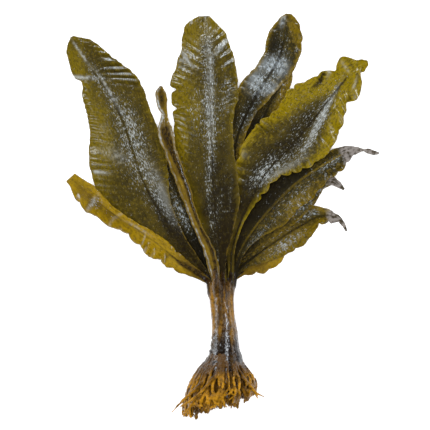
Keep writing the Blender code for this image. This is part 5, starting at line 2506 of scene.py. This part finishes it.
    def _ragged(self, pile: SolidPile) -> None:
        """Adds the ends that stand clear of the skirt at both sides.

        Args:
            pile: Where the tubes go.
        """
        for thick, path in (
            (2.0, ((-20, -166, 52), (-33, -178, 47), (-42, -187, 42), (-50.5, -196.5, 38))),
            (1.8, ((-24, -178, 50), (-32, -190, 46), (-39, -200.5, 42))),
            (2.1, ((-8, -160, 56), (-20, -174, 56), (-32, -184, 52), (-42, -190, 46))),
            (1.6, ((20, -160, 48), (29, -170, 44), (35, -177, 40), (43.5, -181, 38))),
            (1.1, ((29, -172, 42), (34, -179, 40), (36.5, -185.5, 38))),
            (0.9, ((24, -156, 44), (29, -158, 44), (32, -158.5, 43), (33, -161, 42))),
        ):
            self._strand(pile, np.array(path), (thick, thick * 0.4), 0.55)


@dataclass(frozen=True)
class SoftBox:
    """A square soft light that faces the middle of the plant.

    Args:
        name: The light's name.
        place: Where it stands, in metres.
        size: Length of its side, in metres.
        power: Its power, in watts.
        colour: Its colour.
        mirrored: Whether the glossy skin mirrors it.
    """

    name: str
    place: tuple[float, float, float]
    size: float
    power: float
    colour: Colour = (0.82, 0.91, 1.0)
    mirrored: bool = True

    def build(self) -> None:
        """Adds the light."""
        light = bpy.data.lights.new(self.name, "AREA")
        light.shape = "SQUARE"
        light.size = self.size
        light.energy = self.power
        light.color = self.colour
        lamp = new_object(self.name, light)
        lamp.location = self.place
        x, y, z = self.place
        lamp.rotation_euler = (
            math.atan2(math.hypot(x, y), z),
            0.0,
            math.atan2(-x, y) + math.pi,
        )
        lamp.visible_glossy = self.mirrored


SOFT_BOXES = (
    SoftBox("softbox_top", (-0.30, 1.20, 1.05), 0.30, 7.5),
    SoftBox("softbox_right", (1.22, 0.20, 1.05), 0.25, 4.6),
    SoftBox("softbox_left", (-1.22, -0.10, 1.05), 0.24, 3.6),
    SoftBox("fill", (0.0, 0.0, 3.0), 2.2, 108.0, (1.0, 1.0, 1.0), mirrored=False),
)


@dataclass
class Studio:
    """The pale floor, the soft lights and the camera that looks down on the plant.

    Args:
        height: Height of the camera, in metres.
        focus: Height above the floor at which the frame is full size, in metres.
        frame: Width of the frame there, in metres.
        aim: Where the frame's middle falls on the floor, in plan millimetres.
        floor_size: Length of the floor's side, in metres.
    """

    height: float = 3.2
    focus: float = 0.014
    frame: float = 0.430
    aim: tuple[float, float] = (-7.0, 0.0)
    floor_size: float = 6.0

    def build(self) -> None:
        """Makes the floor, the lights, the world and the camera."""
        self._floor()
        for box in SOFT_BOXES:
            box.build()
        self._world()
        self._camera()

    def _floor(self) -> None:
        """A plain near-white surface that glows a little, so that it stays white."""
        bm = bmesh.new()
        bmesh.ops.create_grid(bm, x_segments=2, y_segments=2, size=self.floor_size / 2)
        mesh = bpy.data.meshes.new("floor")
        bm.to_mesh(mesh)
        bm.free()
        made = bpy.data.materials.new("floor_paper")
        made.use_nodes = True
        shader = made.node_tree.nodes["Principled BSDF"]
        shader.inputs["Base Color"].default_value = (0.92, 0.92, 0.92, 1.0)
        shader.inputs["Roughness"].default_value = 0.9
        shader.inputs["Specular IOR Level"].default_value = 0.1
        shader.inputs["Emission Color"].default_value = (1.0, 1.0, 1.0, 1.0)
        shader.inputs["Emission Strength"].default_value = 0.45
        mesh.materials.append(made)
        floor = new_object("floor", mesh)

    @staticmethod
    def _world() -> None:
        """A pale, dim room, shown without a film curve."""
        world = bpy.data.worlds.new("pale_room")
        world.use_nodes = True
        ground = world.node_tree.nodes["Background"]
        ground.inputs["Color"].default_value = (0.92, 0.95, 1.0, 1.0)
        ground.inputs["Strength"].default_value = 0.04
        bpy.context.scene.world = world
        bpy.context.scene.view_settings.view_transform = "Standard"

    def _camera(self) -> None:
        """A long lens that looks straight down."""
        data = bpy.data.cameras.new("camera")
        data.lens = data.sensor_width * (self.height - self.focus) / self.frame
        data.clip_end = 20.0
        camera = new_object("camera", data)
        x, y, _ = placed(np.array((*self.aim, 0.0)))
        camera.location = (x, y, self.height)
        bpy.context.scene.camera = camera


def main() -> None:
    """Builds the plant's pieces in order."""
    logging.basicConfig(level=logging.INFO, format="%(name)s %(message)s")
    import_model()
    Studio().build()
    effects = Effects()
    skins: dict[str, bpy.types.Material] = {}
    for blade in BLADES:
        blade.build(effects, skins)
    Stipe().build(effects, BLADES)
    Holdfast().build(effects)


if __name__ == "__main__":
    main()
